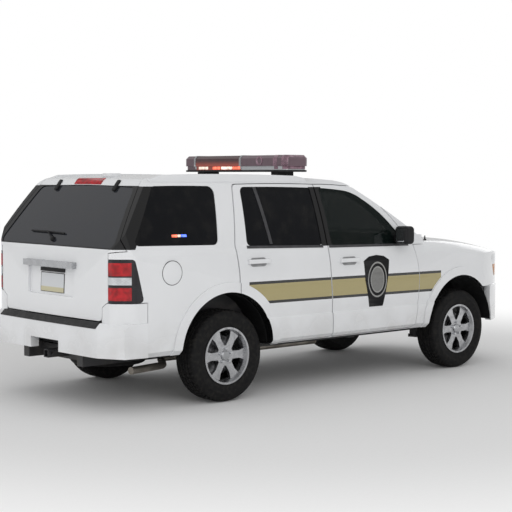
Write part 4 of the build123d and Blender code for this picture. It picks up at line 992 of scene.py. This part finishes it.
class SUV_OT_stage(bpy.types.Operator):
    """Floor, light, world and the photograph's camera"""
    bl_idname = "suv.stage"
    bl_label = "Stage"

    def execute(self, context):
        fresh()
        bpy.ops.mesh.primitive_plane_add(size=160, location=(0, 0, -0.001))
        floor = settle("studio_floor")
        floor.data.materials.append(floor_finish())
        self.add_lamp("key", (-6.0, -9.5, 5.0), 8.0, 300)
        self.add_lamp("fill", (-11.0, 2.0, 3.5), 6.0, 120)
        self.add_lamp("front", (11.0, 2.0, 4.0), 6.0, 150)
        self.world(context.scene)
        self.camera(context.scene)
        context.scene.view_settings.view_transform = "Standard"
        return {"FINISHED"}

    def add_lamp(self, name, place, width, watts):
        """A square soft lamp that looks at the car's middle."""
        bpy.ops.object.light_add(type="AREA", location=place)
        lamp = bpy.context.object
        lamp.name = name
        lamp.data.size = width
        lamp.data.energy = watts
        lamp.rotation_euler = (Vector((0, 0, 0.8)) - Vector(place)).to_track_quat("-Z", "Y").to_euler()

    def world(self, scene):
        """A soft sky, brighter overhead, that the camera sees as white."""
        scene.world = bpy.data.worlds.new("studio")
        scene.world.use_nodes = True
        tree = scene.world.node_tree
        start = Field(tree, None)
        ray = start.node("ShaderNodeTexCoord", output="Generated")
        up = start.node("ShaderNodeSeparateXYZ", inputs={0: ray}, output=2)
        sky = up.ramp(-0.2, 0.9) * 0.10 + 0.56
        seen = start.node("ShaderNodeLightPath", output="Is Camera Ray")
        strength = sky * (1 - seen) + seen
        background = tree.nodes["Background"]
        background.inputs["Color"].default_value = (1, 1, 1, 1)
        tree.links.new(strength.socket, background.inputs["Strength"])

    def camera(self, scene):
        data = bpy.data.cameras.new("photo_camera")
        data.lens = CAMERA_LENS
        data.sensor_width = 36.0
        data.clip_end = 300.0
        camera = bpy.data.objects.new("photo_camera", data)
        scene.collection.objects.link(camera)
        yaw, pitch, roll = (math.radians(a) for a in (CAMERA_YAW, CAMERA_PITCH, CAMERA_ROLL))
        ahead = Vector((math.cos(pitch) * math.cos(yaw), math.cos(pitch) * math.sin(yaw), math.sin(pitch)))
        aim = ahead.to_track_quat("-Z", "Y").to_matrix()
        camera.rotation_euler = (aim @ Matrix.Rotation(roll, 3, "Z")).to_euler()
        camera.location = CAMERA_PLACE
        scene.camera = camera


class SUV_OT_finishes(bpy.types.Operator):
    """Gives every solid its material"""
    bl_idname = "suv.finishes"
    bl_label = "Finishes"

    def execute(self, context):
        for name, nodes in WEARS.items():
            for node in nodes:
                NODES[node].data.materials.clear()
                NODES[node].data.materials.append(material(name))
        return {"FINISHED"}


class SUV_OT_tyres(bpy.types.Operator):
    """Four treaded tyres in place of the plain ones"""
    bl_idname = "suv.tyres"
    bl_label = "Tyres"

    def execute(self, context):
        first = tyre_mesh("tyre_pattern")
        for end in ENDS:
            for side in SIDES:
                tyre = twin(first, f"tread_{end}_{side}", wheel_place(end, side))
                dress(tyre, "tyre", f"wheel_{end}_{side}")
                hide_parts(f"tyre_{end}_{side}")
        bpy.data.objects.remove(first)
        return {"FINISHED"}


class SUV_OT_wheel_fittings(bpy.types.Operator):
    """Caps, nuts, brake discs and calipers of the four wheels"""
    bl_idname = "suv.wheel_fittings"
    bl_label = "Wheel fittings"

    def execute(self, context):
        patterns = (
            ("wheel_cap", self.cap(), "satin", "wheel_{}_{}", "wheel_alloy"),
            ("lug_nuts", self.nuts(), "bright", "wheel_{}_{}", None),
            ("brake_disc", self.disc(), "disc_iron", "wheel_{}_{}", None),
            ("caliper", self.caliper(), "engine_cast", None, None),
        )
        for name, pattern, finish, carrier, slot in patterns:
            for end in ENDS:
                for side in SIDES:
                    body = carrier or ("body" if end == "rear" else "knuckle_{1}")
                    piece = twin(pattern, f"{name}_{end}_{side}", wheel_place(end, side))
                    dress(piece, finish, body.format(end, side))
            bpy.data.objects.remove(pattern)
        return {"FINISHED"}

    def cap(self):
        profile = [(AXIS, 0.0788), (0.040, 0.0788), (0.040, 0.086), (0.034, 0.092), (0.015, 0.094),
                   (AXIS, 0.0945)]
        return lathe("cap_pattern", profile, Matrix.Identity(4), 36)

    def nuts(self):
        """Five hexagon nuts on the hub's face."""
        ring = size("nut_circle") / 2
        nuts = []
        for i in range(5):
            turn = 2 * math.pi * i / 5 + 0.31
            place = (ring * math.cos(turn), ring * math.sin(turn), 0.087)
            nuts.append(rounded(drum("nut", place, 0.0115, 0.018, (0, 0, math.degrees(turn)), 6), 0.0018))
        return joined("nut_pattern", nuts)

    def disc(self):
        """A vented disc with its hat."""
        profile = [(0.0796, -0.030), (0.158, -0.030), (0.158, -0.022), (0.100, -0.022), (0.100, -0.014),
                   (0.158, -0.014), (0.158, -0.006), (0.088, -0.006), (0.088, 0.0196), (0.0796, 0.0196)]
        return lathe("disc_pattern", profile, Matrix.Identity(4), 60)

    def caliper(self):
        """Two cheeks over the disc's rear edge, joined by a bridge, with a bracket to the upright."""
        pieces = []
        for inner, outer, low, high in ((0.106, 0.176, -0.054, -0.034), (0.106, 0.176, -0.002, 0.016),
                                        (0.162, 0.176, -0.036, 0.000)):
            points = arc_band(inner, outer, range(156, 205, 6))
            pieces.append(sheet_cut("cheek", points, high - low, Matrix.Translation((0, 0, low))))
        pieces.append(block("bracket", (-0.135, -0.030, -0.080), (-0.020, 0.030, -0.052)))
        return rounded(joined("caliper_pattern", pieces), 0.003)


class SUV_OT_arch_liners(bpy.types.Operator):
    """Black liners inside the wheel arches"""
    bl_idname = "suv.arch_liners"
    bl_label = "Arch liners"

    def execute(self, context):
        radius = size("liner_radius")
        points = arc_band(radius, radius + LINER_WALL, range(3, 178, 3))
        for end, (inboard, depth) in LINERS.items():
            liner = sheet_cut("liner", points, depth, right_side(ARCH_X[end], -inboard, ARCH_Z))
            pair(rounded(liner, 0.0015, 1), f"arch_liner_{end}", "plastic_deep")
        return {"FINISHED"}


class SUV_OT_tail_lamps(bpy.types.Operator):
    """Lens cells of the tail lamps, and the high stop lamp"""
    bl_idname = "suv.tail_lamps"
    bl_label = "Tail lamps"

    def execute(self, context):
        for name, finish, low, high in TAIL_CELLS:
            planes = box_planes((None, None, low), (TAIL_CUT_X, -0.3, high))
            cell = patch("tail_cell", "taillamps", planes, 0.003, (-0.7, -0.7, 0))
            pair(cell, f"tail_{name}", finish)
        planes = box_planes((None, -0.186, 1.734), (None, 0.186, 1.784))
        stop = patch("stop_lamp", "liftgate", planes, 0.006, (-0.82, 0, 0.57))
        dress(stop, "red_lens", "liftgate")
        return {"FINISHED"}


class SUV_OT_plate(bpy.types.Operator):
    """Blank plate on the liftgate, and the lamp over it"""
    bl_idname = "suv.plate"
    bl_label = "Plate"

    def execute(self, context):
        for name, finish, half, low, high, thickness in (
                ("plate_blank", "plate", size("plate_width") / 2, *PLATE_Z, 0.004),
                ("plate_lamp", "plastic_black", 0.17, 1.044, 1.074, 0.010)):
            planes = box_planes((None, -half, low), (PLATE_CUT_X, half, high))
            dress(patch(name, "liftgate", planes, thickness, REAR), finish, "liftgate")
        return {"FINISHED"}


class SUV_OT_glass_hinges(bpy.types.Operator):
    """Hinge straps over the top edge of the rear glass"""
    bl_idname = "suv.glass_hinges"
    bl_label = "Glass hinges"

    def execute(self, context):
        place = facing_place(*landing("liftgate", (-FAR, -0.41, 1.745), FORWARD))
        place = place @ Matrix.Translation((0, -0.025, -0.006))
        strap = sheet_cut("strap", soft_box(0.022, 0.052, 0.012), 0.017, place)
        pair(rounded(strap, 0.004), "glass_hinge", "plastic_black", "liftgate")
        return {"FINISHED"}


class SUV_OT_rear_wiper(bpy.types.Operator):
    """Blade, arm and boss on the rear glass"""
    bl_idname = "suv.rear_wiper"
    bl_label = "Rear wiper"

    def execute(self, context):
        line = ((0.408, 1.351, 0.009), (0.160, 1.350, 0.011), (-0.080, 1.343, 0.009))
        blade = self.bar("blade", line, 0.007)
        line = ((0.050, 1.298, 0.018), (0.100, 1.325, 0.024), (0.165, 1.350, 0.016))
        arm = self.bar("arm", line, 0.006)
        profile = [(AXIS, -0.001), (0.020, -0.001), (0.021, 0.012), (0.015, 0.023), (AXIS, 0.025)]
        place = facing_place(*landing("liftgate_glass", (-FAR, 0.05, 1.298), FORWARD))
        boss = lathe("boss", profile, place, 28)
        dress(joined("rear_wiper", [blade, arm, boss]), "plastic_black", "liftgate")
        return {"FINISHED"}

    def bar(self, name, line, radius):
        """A round bar off the glass along (y, z, gap) points."""
        points = [off_surface("liftgate_glass", (-FAR, y, z), FORWARD, gap) for y, z, gap in line]
        return rod(name, points, radius)


class SUV_OT_step_pad(bpy.types.Operator):
    """Ribbed pad on top of the rear bumper"""
    bl_idname = "suv.step_pad"
    bl_label = "Step pad"

    def execute(self, context):
        planes = box_planes((None, -0.688, 0.653), (STEP_CUT_X, 0.688, None))
        dress(patch("step_pad", "rear_bumper", planes, 0.003, (-0.5, 0, 0.85)), "step_pad")
        return {"FINISHED"}


class SUV_OT_side_strips(bpy.types.Operator):
    """Belt strips under the door windows, and bars across the rear ones"""
    bl_idname = "suv.side_strips"
    bl_label = "Side strips"

    def execute(self, context):
        for door, points in BELTS.items():
            strip = patch("belt", f"{door}_door_right", side_planes(points), 0.004, RIGHT)
            pair(strip, f"belt_strip_{door}", "trim_grey", door + "_door_{}")
        bar = patch("bar", "rear_door_glass_right", side_planes(WINDOW_BAR), 0.005, RIGHT)
        pair(bar, "window_bar", "trim_grey", "rear_door_{}")
        return {"FINISHED"}


class SUV_OT_door_shields(bpy.types.Operator):
    """Plain black shields on the front doors"""
    bl_idname = "suv.door_shields"
    bl_label = "Door shields"

    def execute(self, context):
        shield = patch("shield", "front_door_right", side_planes(SHIELD), 0.0012, RIGHT)
        pair(shield, "door_shield", "shield", "front_door_{}")
        return {"FINISHED"}


class SUV_OT_handle_cups(bpy.types.Operator):
    """Painted shade in the cups behind the door handles: thin skins of darkened paint"""
    bl_idname = "suv.handle_cups"
    bl_label = "Handle cups"

    def execute(self, context):
        for door, (x, z) in HANDLES.items():
            planes = side_planes([(x + u, z + v) for u, v in soft_box(0.088, 0.036, 0.030)])
            planes.append(((0, -0.936, 0), (0, 1, 0)))
            # Painted shade: a darkened skin of the door's surface round each handle, standing for the cup's
            # shade
            cup = patch("cup", f"{door}_door_right", planes, 0.0008, RIGHT)
            pair(cup, f"handle_cup_{door}", "cup", door + "_door_{}")
        return {"FINISHED"}


class SUV_OT_mirror_glass(bpy.types.Operator):
    """Glass of the door mirrors"""
    bl_idname = "suv.mirror_glass"
    bl_label = "Mirror glass"

    def execute(self, context):
        planes = box_planes((None, -1.060, 1.230), (None, -0.966, 1.342))
        glass = patch("glass", "mirror_right", planes, 0.0015, REAR)
        pair(glass, "mirror_glass", "mirror_glass", "front_door_{}")
        return {"FINISHED"}


class SUV_OT_fuel_door(bpy.types.Operator):
    """Round fuel flap and the gap round it"""
    bl_idname = "suv.fuel_door"
    bl_label = "Fuel door"

    def execute(self, context):
        place = facing_place(*landing("body_side_right", (-1.896, -FAR, 1.063), (0, 1, 0)))
        ring = [(0.0905, -0.002), (0.0955, -0.002), (0.0955, 0.0008), (0.0905, 0.0008)]
        dress(lathe("fuel_gap", ring, place, 60), "trim_grey")
        flap = [(AXIS, -0.002), (0.0900, -0.002), (0.0900, 0.0014), (0.0875, 0.0022), (AXIS, 0.0026)]
        dress(lathe("fuel_flap", flap, place, 60), "paint_plain")
        return {"FINISHED"}


class SUV_OT_aerial(bpy.types.Operator):
    """Stub of the aerial on the right front fender"""
    bl_idname = "suv.aerial"
    bl_label = "Aerial"

    def execute(self, context):
        foot, _ = landing("front_fenders", (1.17, -0.80, FAR), DOWN)
        profile = [(AXIS, -0.003), (0.016, -0.003), (0.014, 0.006), (0.007, 0.012), (0.005, 0.040),
                   (AXIS, 0.042)]
        dress(lathe("aerial_stub", profile, Matrix.Translation(foot), 24), "plastic_black")
        return {"FINISHED"}


class SUV_OT_window_lamps(bpy.types.Operator):
    """Small lit lamps at the quarter windows"""
    bl_idname = "suv.window_lamps"
    bl_label = "Window lamps"

    def execute(self, context):
        for finish, low, high in WINDOW_LAMPS:
            planes = box_planes((low, None, 1.332), (high, -0.3, 1.351))
            cell = patch("stick", "quarter_windows", planes, 0.0025, RIGHT)
            pair(cell, f"window_{finish}", finish)
        return {"FINISHED"}


class SUV_OT_lightbar(bpy.types.Operator):
    """Posts, lit cells and beacons of the lightbar"""
    bl_idname = "suv.lightbar"
    bl_label = "Lightbar"

    def execute(self, context):
        for i, (finish, thickness, low, high) in enumerate(BAR_POSTS):
            planes = box_planes((None, low, BAR_POST_Z), (None, high, None))
            dress(patch(f"bar_post_{i}", "lightbar_lenses", planes, thickness), finish)
        bowl = [(0.022, -0.001), (0.040, -0.001), (0.041, 0.003), (0.036, 0.006), (0.024, 0.002)]
        for end, out in (("rear", -1), ("front", 1)):
            for i, (finish, low, high) in enumerate(BAR_CELLS):
                planes = box_planes((None, low, BAR_ROW_Z[0]), (None, high, BAR_ROW_Z[1]))
                dress(patch(f"bar_cell_{end}_{i}", "lightbar_lenses", planes, 0.003, (out, 0, 0)), finish)
            place = facing_place(*landing("lightbar_lenses", (FAR * out, *BAR_BEACON), (-out, 0, 0)))
            dress(lathe(f"bar_beacon_{end}", bowl, place, 40), "bar_flute")
        return {"FINISHED"}


class SUV_OT_roof_box(bpy.types.Operator):
    """Small painted box on the rear of the roof"""
    bl_idname = "suv.roof_box"
    bl_label = "Roof box"

    def execute(self, context):
        spot, _ = landing("roof_panel", (-1.80, 0, FAR), DOWN)
        low, high = spot + Vector((-0.06, -0.055, -0.004)), spot + Vector((0.06, 0.055, 0.030))
        dress(rounded(block("roof_box", low, high), 0.010, 3), "paint_plain")
        return {"FINISHED"}


class SUV_OT_headlamps(bpy.types.Operator):
    """Rings, bowls and amber corners of the headlamps"""
    bl_idname = "suv.headlamps"
    bl_label = "Headlamps"

    def execute(self, context):
        ring = [(0.034, -0.004), (0.047, -0.004), (0.047, 0.003), (0.041, 0.006), (0.034, 0.002)]
        bowl = [(AXIS, -0.004), (0.033, -0.004), (0.033, 0.001), (0.020, 0.005), (AXIS, 0.007)]
        for i, across in enumerate((-0.560, -0.662)):
            place = facing_place(*landing("headlamps", (FAR, across, 0.915), REAR))
            pair(lathe("ring", ring, place, 40), f"lamp_ring_{i}", "bright")
            pair(lathe("bowl", bowl, place, 40), f"lamp_bowl_{i}", "clear_lens")
        planes = box_planes((2.105, None, 0.845), (2.262, -0.3, 0.955))
        amber = patch("amber", "headlamps", planes, 0.002, (0.3, -0.95, 0))
        pair(amber, "amber_corner", "amber_lens")
        return {"FINISHED"}


class SUV_OT_front_mesh(bpy.types.Operator):
    """Wire mesh behind the grille bars and in the bumper's intake"""
    bl_idname = "suv.front_mesh"
    bl_label = "Front mesh"

    def execute(self, context):
        for name, x, half, low, high, columns, rows in FRONT_MESHES:
            dress(mesh_panel(name, (x, -half, low), (x, half, high), columns, rows, 0.004), "plastic_black")
        return {"FINISHED"}


class SUV_OT_lamp_panels(bpy.types.Operator):
    """Painted panels between the headlamps and the bumper"""
    bl_idname = "suv.lamp_panels"
    bl_label = "Lamp panels"

    def execute(self, context):
        panel = sheet_cut("panel", LAMP_PANEL, 0.073, Matrix.Translation((0, 0, 0.7615)))
        pair(rounded(panel, 0.003), "lamp_panel", "paint_plain")
        return {"FINISHED"}


class SUV_OT_fog_lamps(bpy.types.Operator):
    """Fog lamps in the front bumper, with their bezels"""
    bl_idname = "suv.fog_lamps"
    bl_label = "Fog lamps"

    def execute(self, context):
        place = facing_place(*landing("front_bumper", (FAR, -0.615, 0.53), REAR))
        fog = [(AXIS, -0.002), (0.038, -0.002), (0.038, 0.003), (0.030, 0.006), (AXIS, 0.007)]
        pair(lathe("fog", fog, place, 36), "fog_lamp", "clear_lens")
        bezel = [(0.039, -0.002), (0.052, -0.002), (0.050, 0.004), (0.039, 0.006)]
        pair(lathe("bezel", bezel, place, 36), "fog_bezel", "plastic_black")
        return {"FINISHED"}


class SUV_OT_front_wipers(bpy.types.Operator):
    """Blades along the foot of the windscreen, with their arms and bosses"""
    bl_idname = "suv.front_wipers"
    bl_label = "Front wipers"

    def execute(self, context):
        for i, (pivot, outer, inner) in enumerate(((0.10, 0.62, 0.08), (-0.56, -0.04, -0.58))):
            middle = (outer + inner) / 2
            blade = rod("blade", [self.off_glass(0.925, y, 0.010) for y in (outer, middle, inner)], 0.007)
            foot, _ = landing("cowl_panel", (0.985, pivot, FAR), DOWN)
            line = [foot + Vector((0, 0, 0.016)), self.off_glass(0.945, (pivot + middle) / 2, 0.026),
                    self.off_glass(0.925, middle, 0.016)]
            arm = rod("arm", line, 0.006)
            profile = [(AXIS, -0.002), (0.016, -0.002), (0.016, 0.014), (0.011, 0.022), (AXIS, 0.024)]
            boss = lathe("boss", profile, Matrix.Translation(foot), 24)
            dress(joined(f"front_wiper_{i}", [blade, arm, boss]), "plastic_black")
        return {"FINISHED"}

    def off_glass(self, x, y, gap):
        return off_surface("windshield", (x, y, FAR), DOWN, gap)


class SUV_OT_seats(bpy.types.Operator):
    """Padded front seats and rear bench on their bases"""
    bl_idname = "suv.seats"
    bl_label = "Seats"

    def execute(self, context):
        for name, low, high, seams, lean in FRONT_SEAT:
            right = cushion(name + "_right", low, high, seams, lean)
            left = twin(right, name + "_left", MIRROR)
            for piece in (right, left):
                self.upholster(piece, "front_seats")
        for name, low, high, seams, lean in BENCH:
            self.upholster(cushion(name, low, high, seams, lean, 0.027), "rear_seat")
        base = rounded(block("base", (-0.020, -0.580, 0.480), (0.340, -0.170, 0.640)), 0.015)
        pair(base, "seat_base", "plastic_cabin")
        base = rounded(block("bench_base", (-1.030, -0.560, 0.480), (-0.570, 0.560, 0.640)), 0.015)
        dress(base, "plastic_cabin")
        posts = [rod("post", [(-0.222, y, 1.300), (-0.230, y, 1.400)], 0.007) for y in (-0.415, -0.335)]
        pair(joined("posts", posts), "headrest_posts", "bright")
        return {"FINISHED"}

    def upholster(self, piece, node):
        dress(piece, "seat_cloth", angle=60)
        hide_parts(node)


class SUV_OT_door_cards(bpy.types.Operator):
    """Inner cards and armrests of the doors"""
    bl_idname = "suv.door_cards"
    bl_label = "Door cards"

    def execute(self, context):
        for door, low, high in DOOR_CARDS:
            card = patch("card", f"{door}_door_right", box_planes(low, high), 0.010, (0, 1, 0))
            pair(card, f"door_card_{door}", "plastic_cabin", door + "_door_{}")
            middle = (low[0] + high[0]) / 2
            spot, _ = landing(f"{door}_door_right", (middle, 0, 0.88), RIGHT)
            rest = block("rest", spot + Vector((-0.20, 0.004, -0.035)), spot + Vector((0.20, 0.058, 0.015)))
            pair(rounded(rest, 0.014, 3), f"door_armrest_{door}", "plastic_cabin", door + "_door_{}")
        return {"FINISHED"}


class SUV_OT_linings(bpy.types.Operator):
    """Floor carpet and headliner"""
    bl_idname = "suv.linings"
    bl_label = "Linings"

    def execute(self, context):
        planes = box_planes((-2.20, -0.76, 0.470), (0.93, 0.76, 0.490))
        dress(patch("floor_carpet", "floor_pan", planes, 0.002, (0, 0, 1)), "carpet")
        planes = box_planes((-1.90, -0.58, None), (0.10, 0.58, None))
        dress(patch("headliner", "roof_panel", planes, 0.006, DOWN), "headliner")
        return {"FINISHED"}


class SUV_OT_console(bpy.types.Operator):
    """Console between the seats, and the hood over the driver's dials"""
    bl_idname = "suv.console"
    bl_label = "Console"

    def execute(self, context):
        console = block("console", (-0.150, -0.095, 0.482), (0.450, 0.095, 0.715))
        dress(rounded(console, 0.022, 3), "plastic_cabin")
        hood = block("cluster_hood", (0.700, 0.215, 1.180), (0.860, 0.535, 1.215))
        dress(rounded(hood, 0.014, 3), "plastic_cabin")
        return {"FINISHED"}


class SUV_OT_controls(bpy.types.Operator):
    """Stalks behind the steering wheel, and the pedals"""
    bl_idname = "suv.controls"
    bl_label = "Controls"

    def execute(self, context):
        stalks = [rod("stalk", [(0.690, DRIVER_Y + y, 1.020), (0.640, DRIVER_Y + y * 4, 1.030)], 0.008)
                  for y in (-0.03, 0.03)]
        dress(joined("stalks", stalks), "plastic_cabin")
        pedals = []
        for across, half in ((0.300, 0.030), (0.400, 0.050)):
            pedals.append(block("pad", (0.800, across - half, 0.590), (0.815, across + half, 0.670)))
            pedals.append(rod("lever", [(0.812, across, 0.630), (0.860, across, 0.860)], 0.008))
        dress(rounded(joined("pedals", pedals), 0.003), "rubber_trim")
        return {"FINISHED"}


class SUV_OT_cabin_mirror(bpy.types.Operator):
    """Inside mirror on its stem from the windscreen"""
    bl_idname = "suv.cabin_mirror"
    bl_label = "Cabin mirror"

    def execute(self, context):
        spot, _ = landing("windshield", (0.330, 0, 1.20), (0, 0, 1))
        place = facing_place((spot.x - 0.055, 0, spot.z - 0.075), REAR)
        shell = sheet_cut("mirror_shell", soft_box(0.125, 0.034, 0.024), 0.028, place)
        stem = rod("stem", [(spot.x - 0.035, 0, spot.z - 0.060), spot], 0.007)
        dress(joined("cabin_mirror", [rounded(shell, 0.006), stem]), "plastic_black")
        return {"FINISHED"}


class SUV_OT_visors(bpy.types.Operator):
    """Sun visors under the headliner"""
    bl_idname = "suv.visors"
    bl_label = "Visors"

    def execute(self, context):
        visor = rounded(block("visor", (0.020, -0.560, 1.700), (0.170, -0.150, 1.714)), 0.005)
        pair(visor, "visor", "headliner")
        return {"FINISHED"}


class SuvColours(bpy.types.PropertyGroup):
    """Colours of the SUV, linear"""


class SuvSizes(bpy.types.PropertyGroup):
    """Sizes of the SUV's trim"""


COLOURS = {
    "paint": ("Paint", "White body paint", (0.80, 0.81, 0.825)),
    "dust": ("Dust", "Road dust", (0.30, 0.28, 0.25)),
    "stripe": ("Stripe", "Olive-gold side stripe", (0.40, 0.34, 0.155)),
    "stripe_edge": ("Stripe edge", "Lines along the stripe", (0.012, 0.012, 0.012)),
    "trim_grey": ("Trim grey", "Belt strips and window bars", (0.060, 0.060, 0.064)),
    "shield": ("Shield", "Door shield", (0.008, 0.008, 0.009)),
    "shield_ring": ("Shield ring", "Grey ring and centre of the shield", (0.34, 0.34, 0.33)),
    "plate": ("Plate", "Blank registration plate", (0.66, 0.68, 0.70)),
    "plate_band": ("Plate band", "Lower band of the plate", (0.56, 0.52, 0.34)),
    "trim": ("Trim", "Black trim and pillars", (0.012, 0.012, 0.013)),
    "cabin": ("Cabin", "Cabin plastic", (0.085, 0.085, 0.088)),
    "dark_glass": ("Dark glass", "Privacy tint", (0.006, 0.0065, 0.008)),
    "clear_glass": ("Clear glass", "Green tint", (0.018, 0.030, 0.028)),
    "bright": ("Bright trim", "Satin bright metal", (0.62, 0.63, 0.65)),
    "rubber": ("Rubber", "Tyre rubber", (0.009, 0.009, 0.0095)),
    "alloy": ("Alloy", "Wheel alloy", (0.52, 0.525, 0.54)),
    "chassis": ("Chassis", "Chassis paint", (0.022, 0.022, 0.024)),
    "cast": ("Cast metal", "Engine and brake castings", (0.30, 0.30, 0.31)),
    "exhaust": ("Exhaust", "Heat-stained steel", (0.36, 0.33, 0.29)),
    "cloth": ("Seat cloth", "Dark woven cloth", (0.060, 0.060, 0.064)),
    "carpet": ("Carpet", "Floor carpet", (0.040, 0.040, 0.042)),
    "headliner": ("Headliner", "Roof lining", (0.42, 0.41, 0.39)),
    "red_lens": ("Red lens", "Tail lamp red", (0.48, 0.008, 0.014)),
    "clear_lens": ("Clear lens", "Clear lamp lens", (0.62, 0.64, 0.66)),
    "amber_lens": ("Amber lens", "Turn lamp amber", (0.62, 0.22, 0.02)),
    "smoked_lens": ("Smoked lens", "Dark lamp housing", (0.012, 0.010, 0.014)),
    "bar_red": ("Lightbar red", "Red lightbar lens", (0.050, 0.010, 0.014)),
    "bar_clear": ("Lightbar clear", "Clear lightbar lens", (0.125, 0.075, 0.095)),
    "lit_red": ("Lit red", "Lit red lamp", (0.95, 0.16, 0.09)),
    "lit_white": ("Lit white", "Lit white lamp", (1.0, 0.80, 0.68)),
    "lit_blue": ("Lit blue", "Lit blue lamp", (0.10, 0.18, 0.95)),
}
SIZES = {
    "stripe_line": ("Stripe line", "Width of the stripe's edge lines", 0.023, "LENGTH"),
    "nut_circle": ("Nut circle", "Diameter of the wheel nuts' circle", 0.1144, "LENGTH"),
    "liner_radius": ("Liner radius", "Inner radius of the arch liners", 0.468, "LENGTH"),
    "plate_width": ("Plate width", "Width of the blank plate", 0.335, "LENGTH"),
    "tyre_radius": ("Tyre radius", "Radius over the tread", 0.370, "LENGTH"),
    "tyre_width": ("Tyre width", "Width over the sidewalls", 0.236, "LENGTH"),
    "tread_depth": ("Tread depth", "Depth of the tread grooves", 0.008, "LENGTH"),
    "tread_groove": ("Tread groove", "Width of the round grooves", 0.010, "LENGTH"),
    "tread_blocks": ("Tread blocks", "Cross cuts round the tyre", 56.0, "NONE"),
}
for key, (label, text, value) in COLOURS.items():
    SuvColours.__annotations__[key] = FloatVectorProperty(
        name=label, description=text, default=value, size=3, subtype="COLOR", min=0.0, max=1.0)
for key, (label, text, value, unit) in SIZES.items():
    SuvSizes.__annotations__[key] = FloatProperty(name=label, description=text, default=value, unit=unit)


class SUV_PT_panel(bpy.types.Panel):
    """Lists the SUV's operators and settings"""
    bl_label = "Police SUV"
    bl_idname = "SUV_PT_panel"
    bl_space_type = "VIEW_3D"
    bl_region_type = "UI"
    bl_category = "SUV"

    def draw(self, context):
        for operator in OPERATORS:
            self.layout.operator(operator.bl_idname)
        for group, names in ((context.scene.suv_colours, COLOURS), (context.scene.suv_sizes, SIZES)):
            for name in names:
                self.layout.prop(group, name)


OPERATORS = (
    SUV_OT_stage, SUV_OT_finishes, SUV_OT_tyres, SUV_OT_wheel_fittings, SUV_OT_arch_liners, SUV_OT_tail_lamps,
    SUV_OT_plate, SUV_OT_glass_hinges, SUV_OT_rear_wiper, SUV_OT_step_pad, SUV_OT_side_strips,
    SUV_OT_door_shields, SUV_OT_handle_cups, SUV_OT_mirror_glass, SUV_OT_fuel_door, SUV_OT_aerial,
    SUV_OT_window_lamps, SUV_OT_lightbar, SUV_OT_roof_box, SUV_OT_headlamps, SUV_OT_front_mesh,
    SUV_OT_lamp_panels, SUV_OT_fog_lamps, SUV_OT_front_wipers, SUV_OT_seats, SUV_OT_door_cards,
    SUV_OT_linings, SUV_OT_console, SUV_OT_controls, SUV_OT_cabin_mirror, SUV_OT_visors,
)
CLASSES = (SuvColours, SuvSizes, *OPERATORS, SUV_PT_panel)


def register():
    for cls in CLASSES:
        bpy.utils.register_class(cls)
    bpy.types.Scene.suv_colours = PointerProperty(type=SuvColours)
    bpy.types.Scene.suv_sizes = PointerProperty(type=SuvSizes)


def unregister():
    del bpy.types.Scene.suv_sizes
    del bpy.types.Scene.suv_colours
    for cls in reversed(CLASSES):
        bpy.utils.unregister_class(cls)


def main():
    register()
    for operator in OPERATORS:
        group, name = operator.bl_idname.split(".")
        getattr(getattr(bpy.ops, group), name)()


if __name__ == "__main__":
    main()
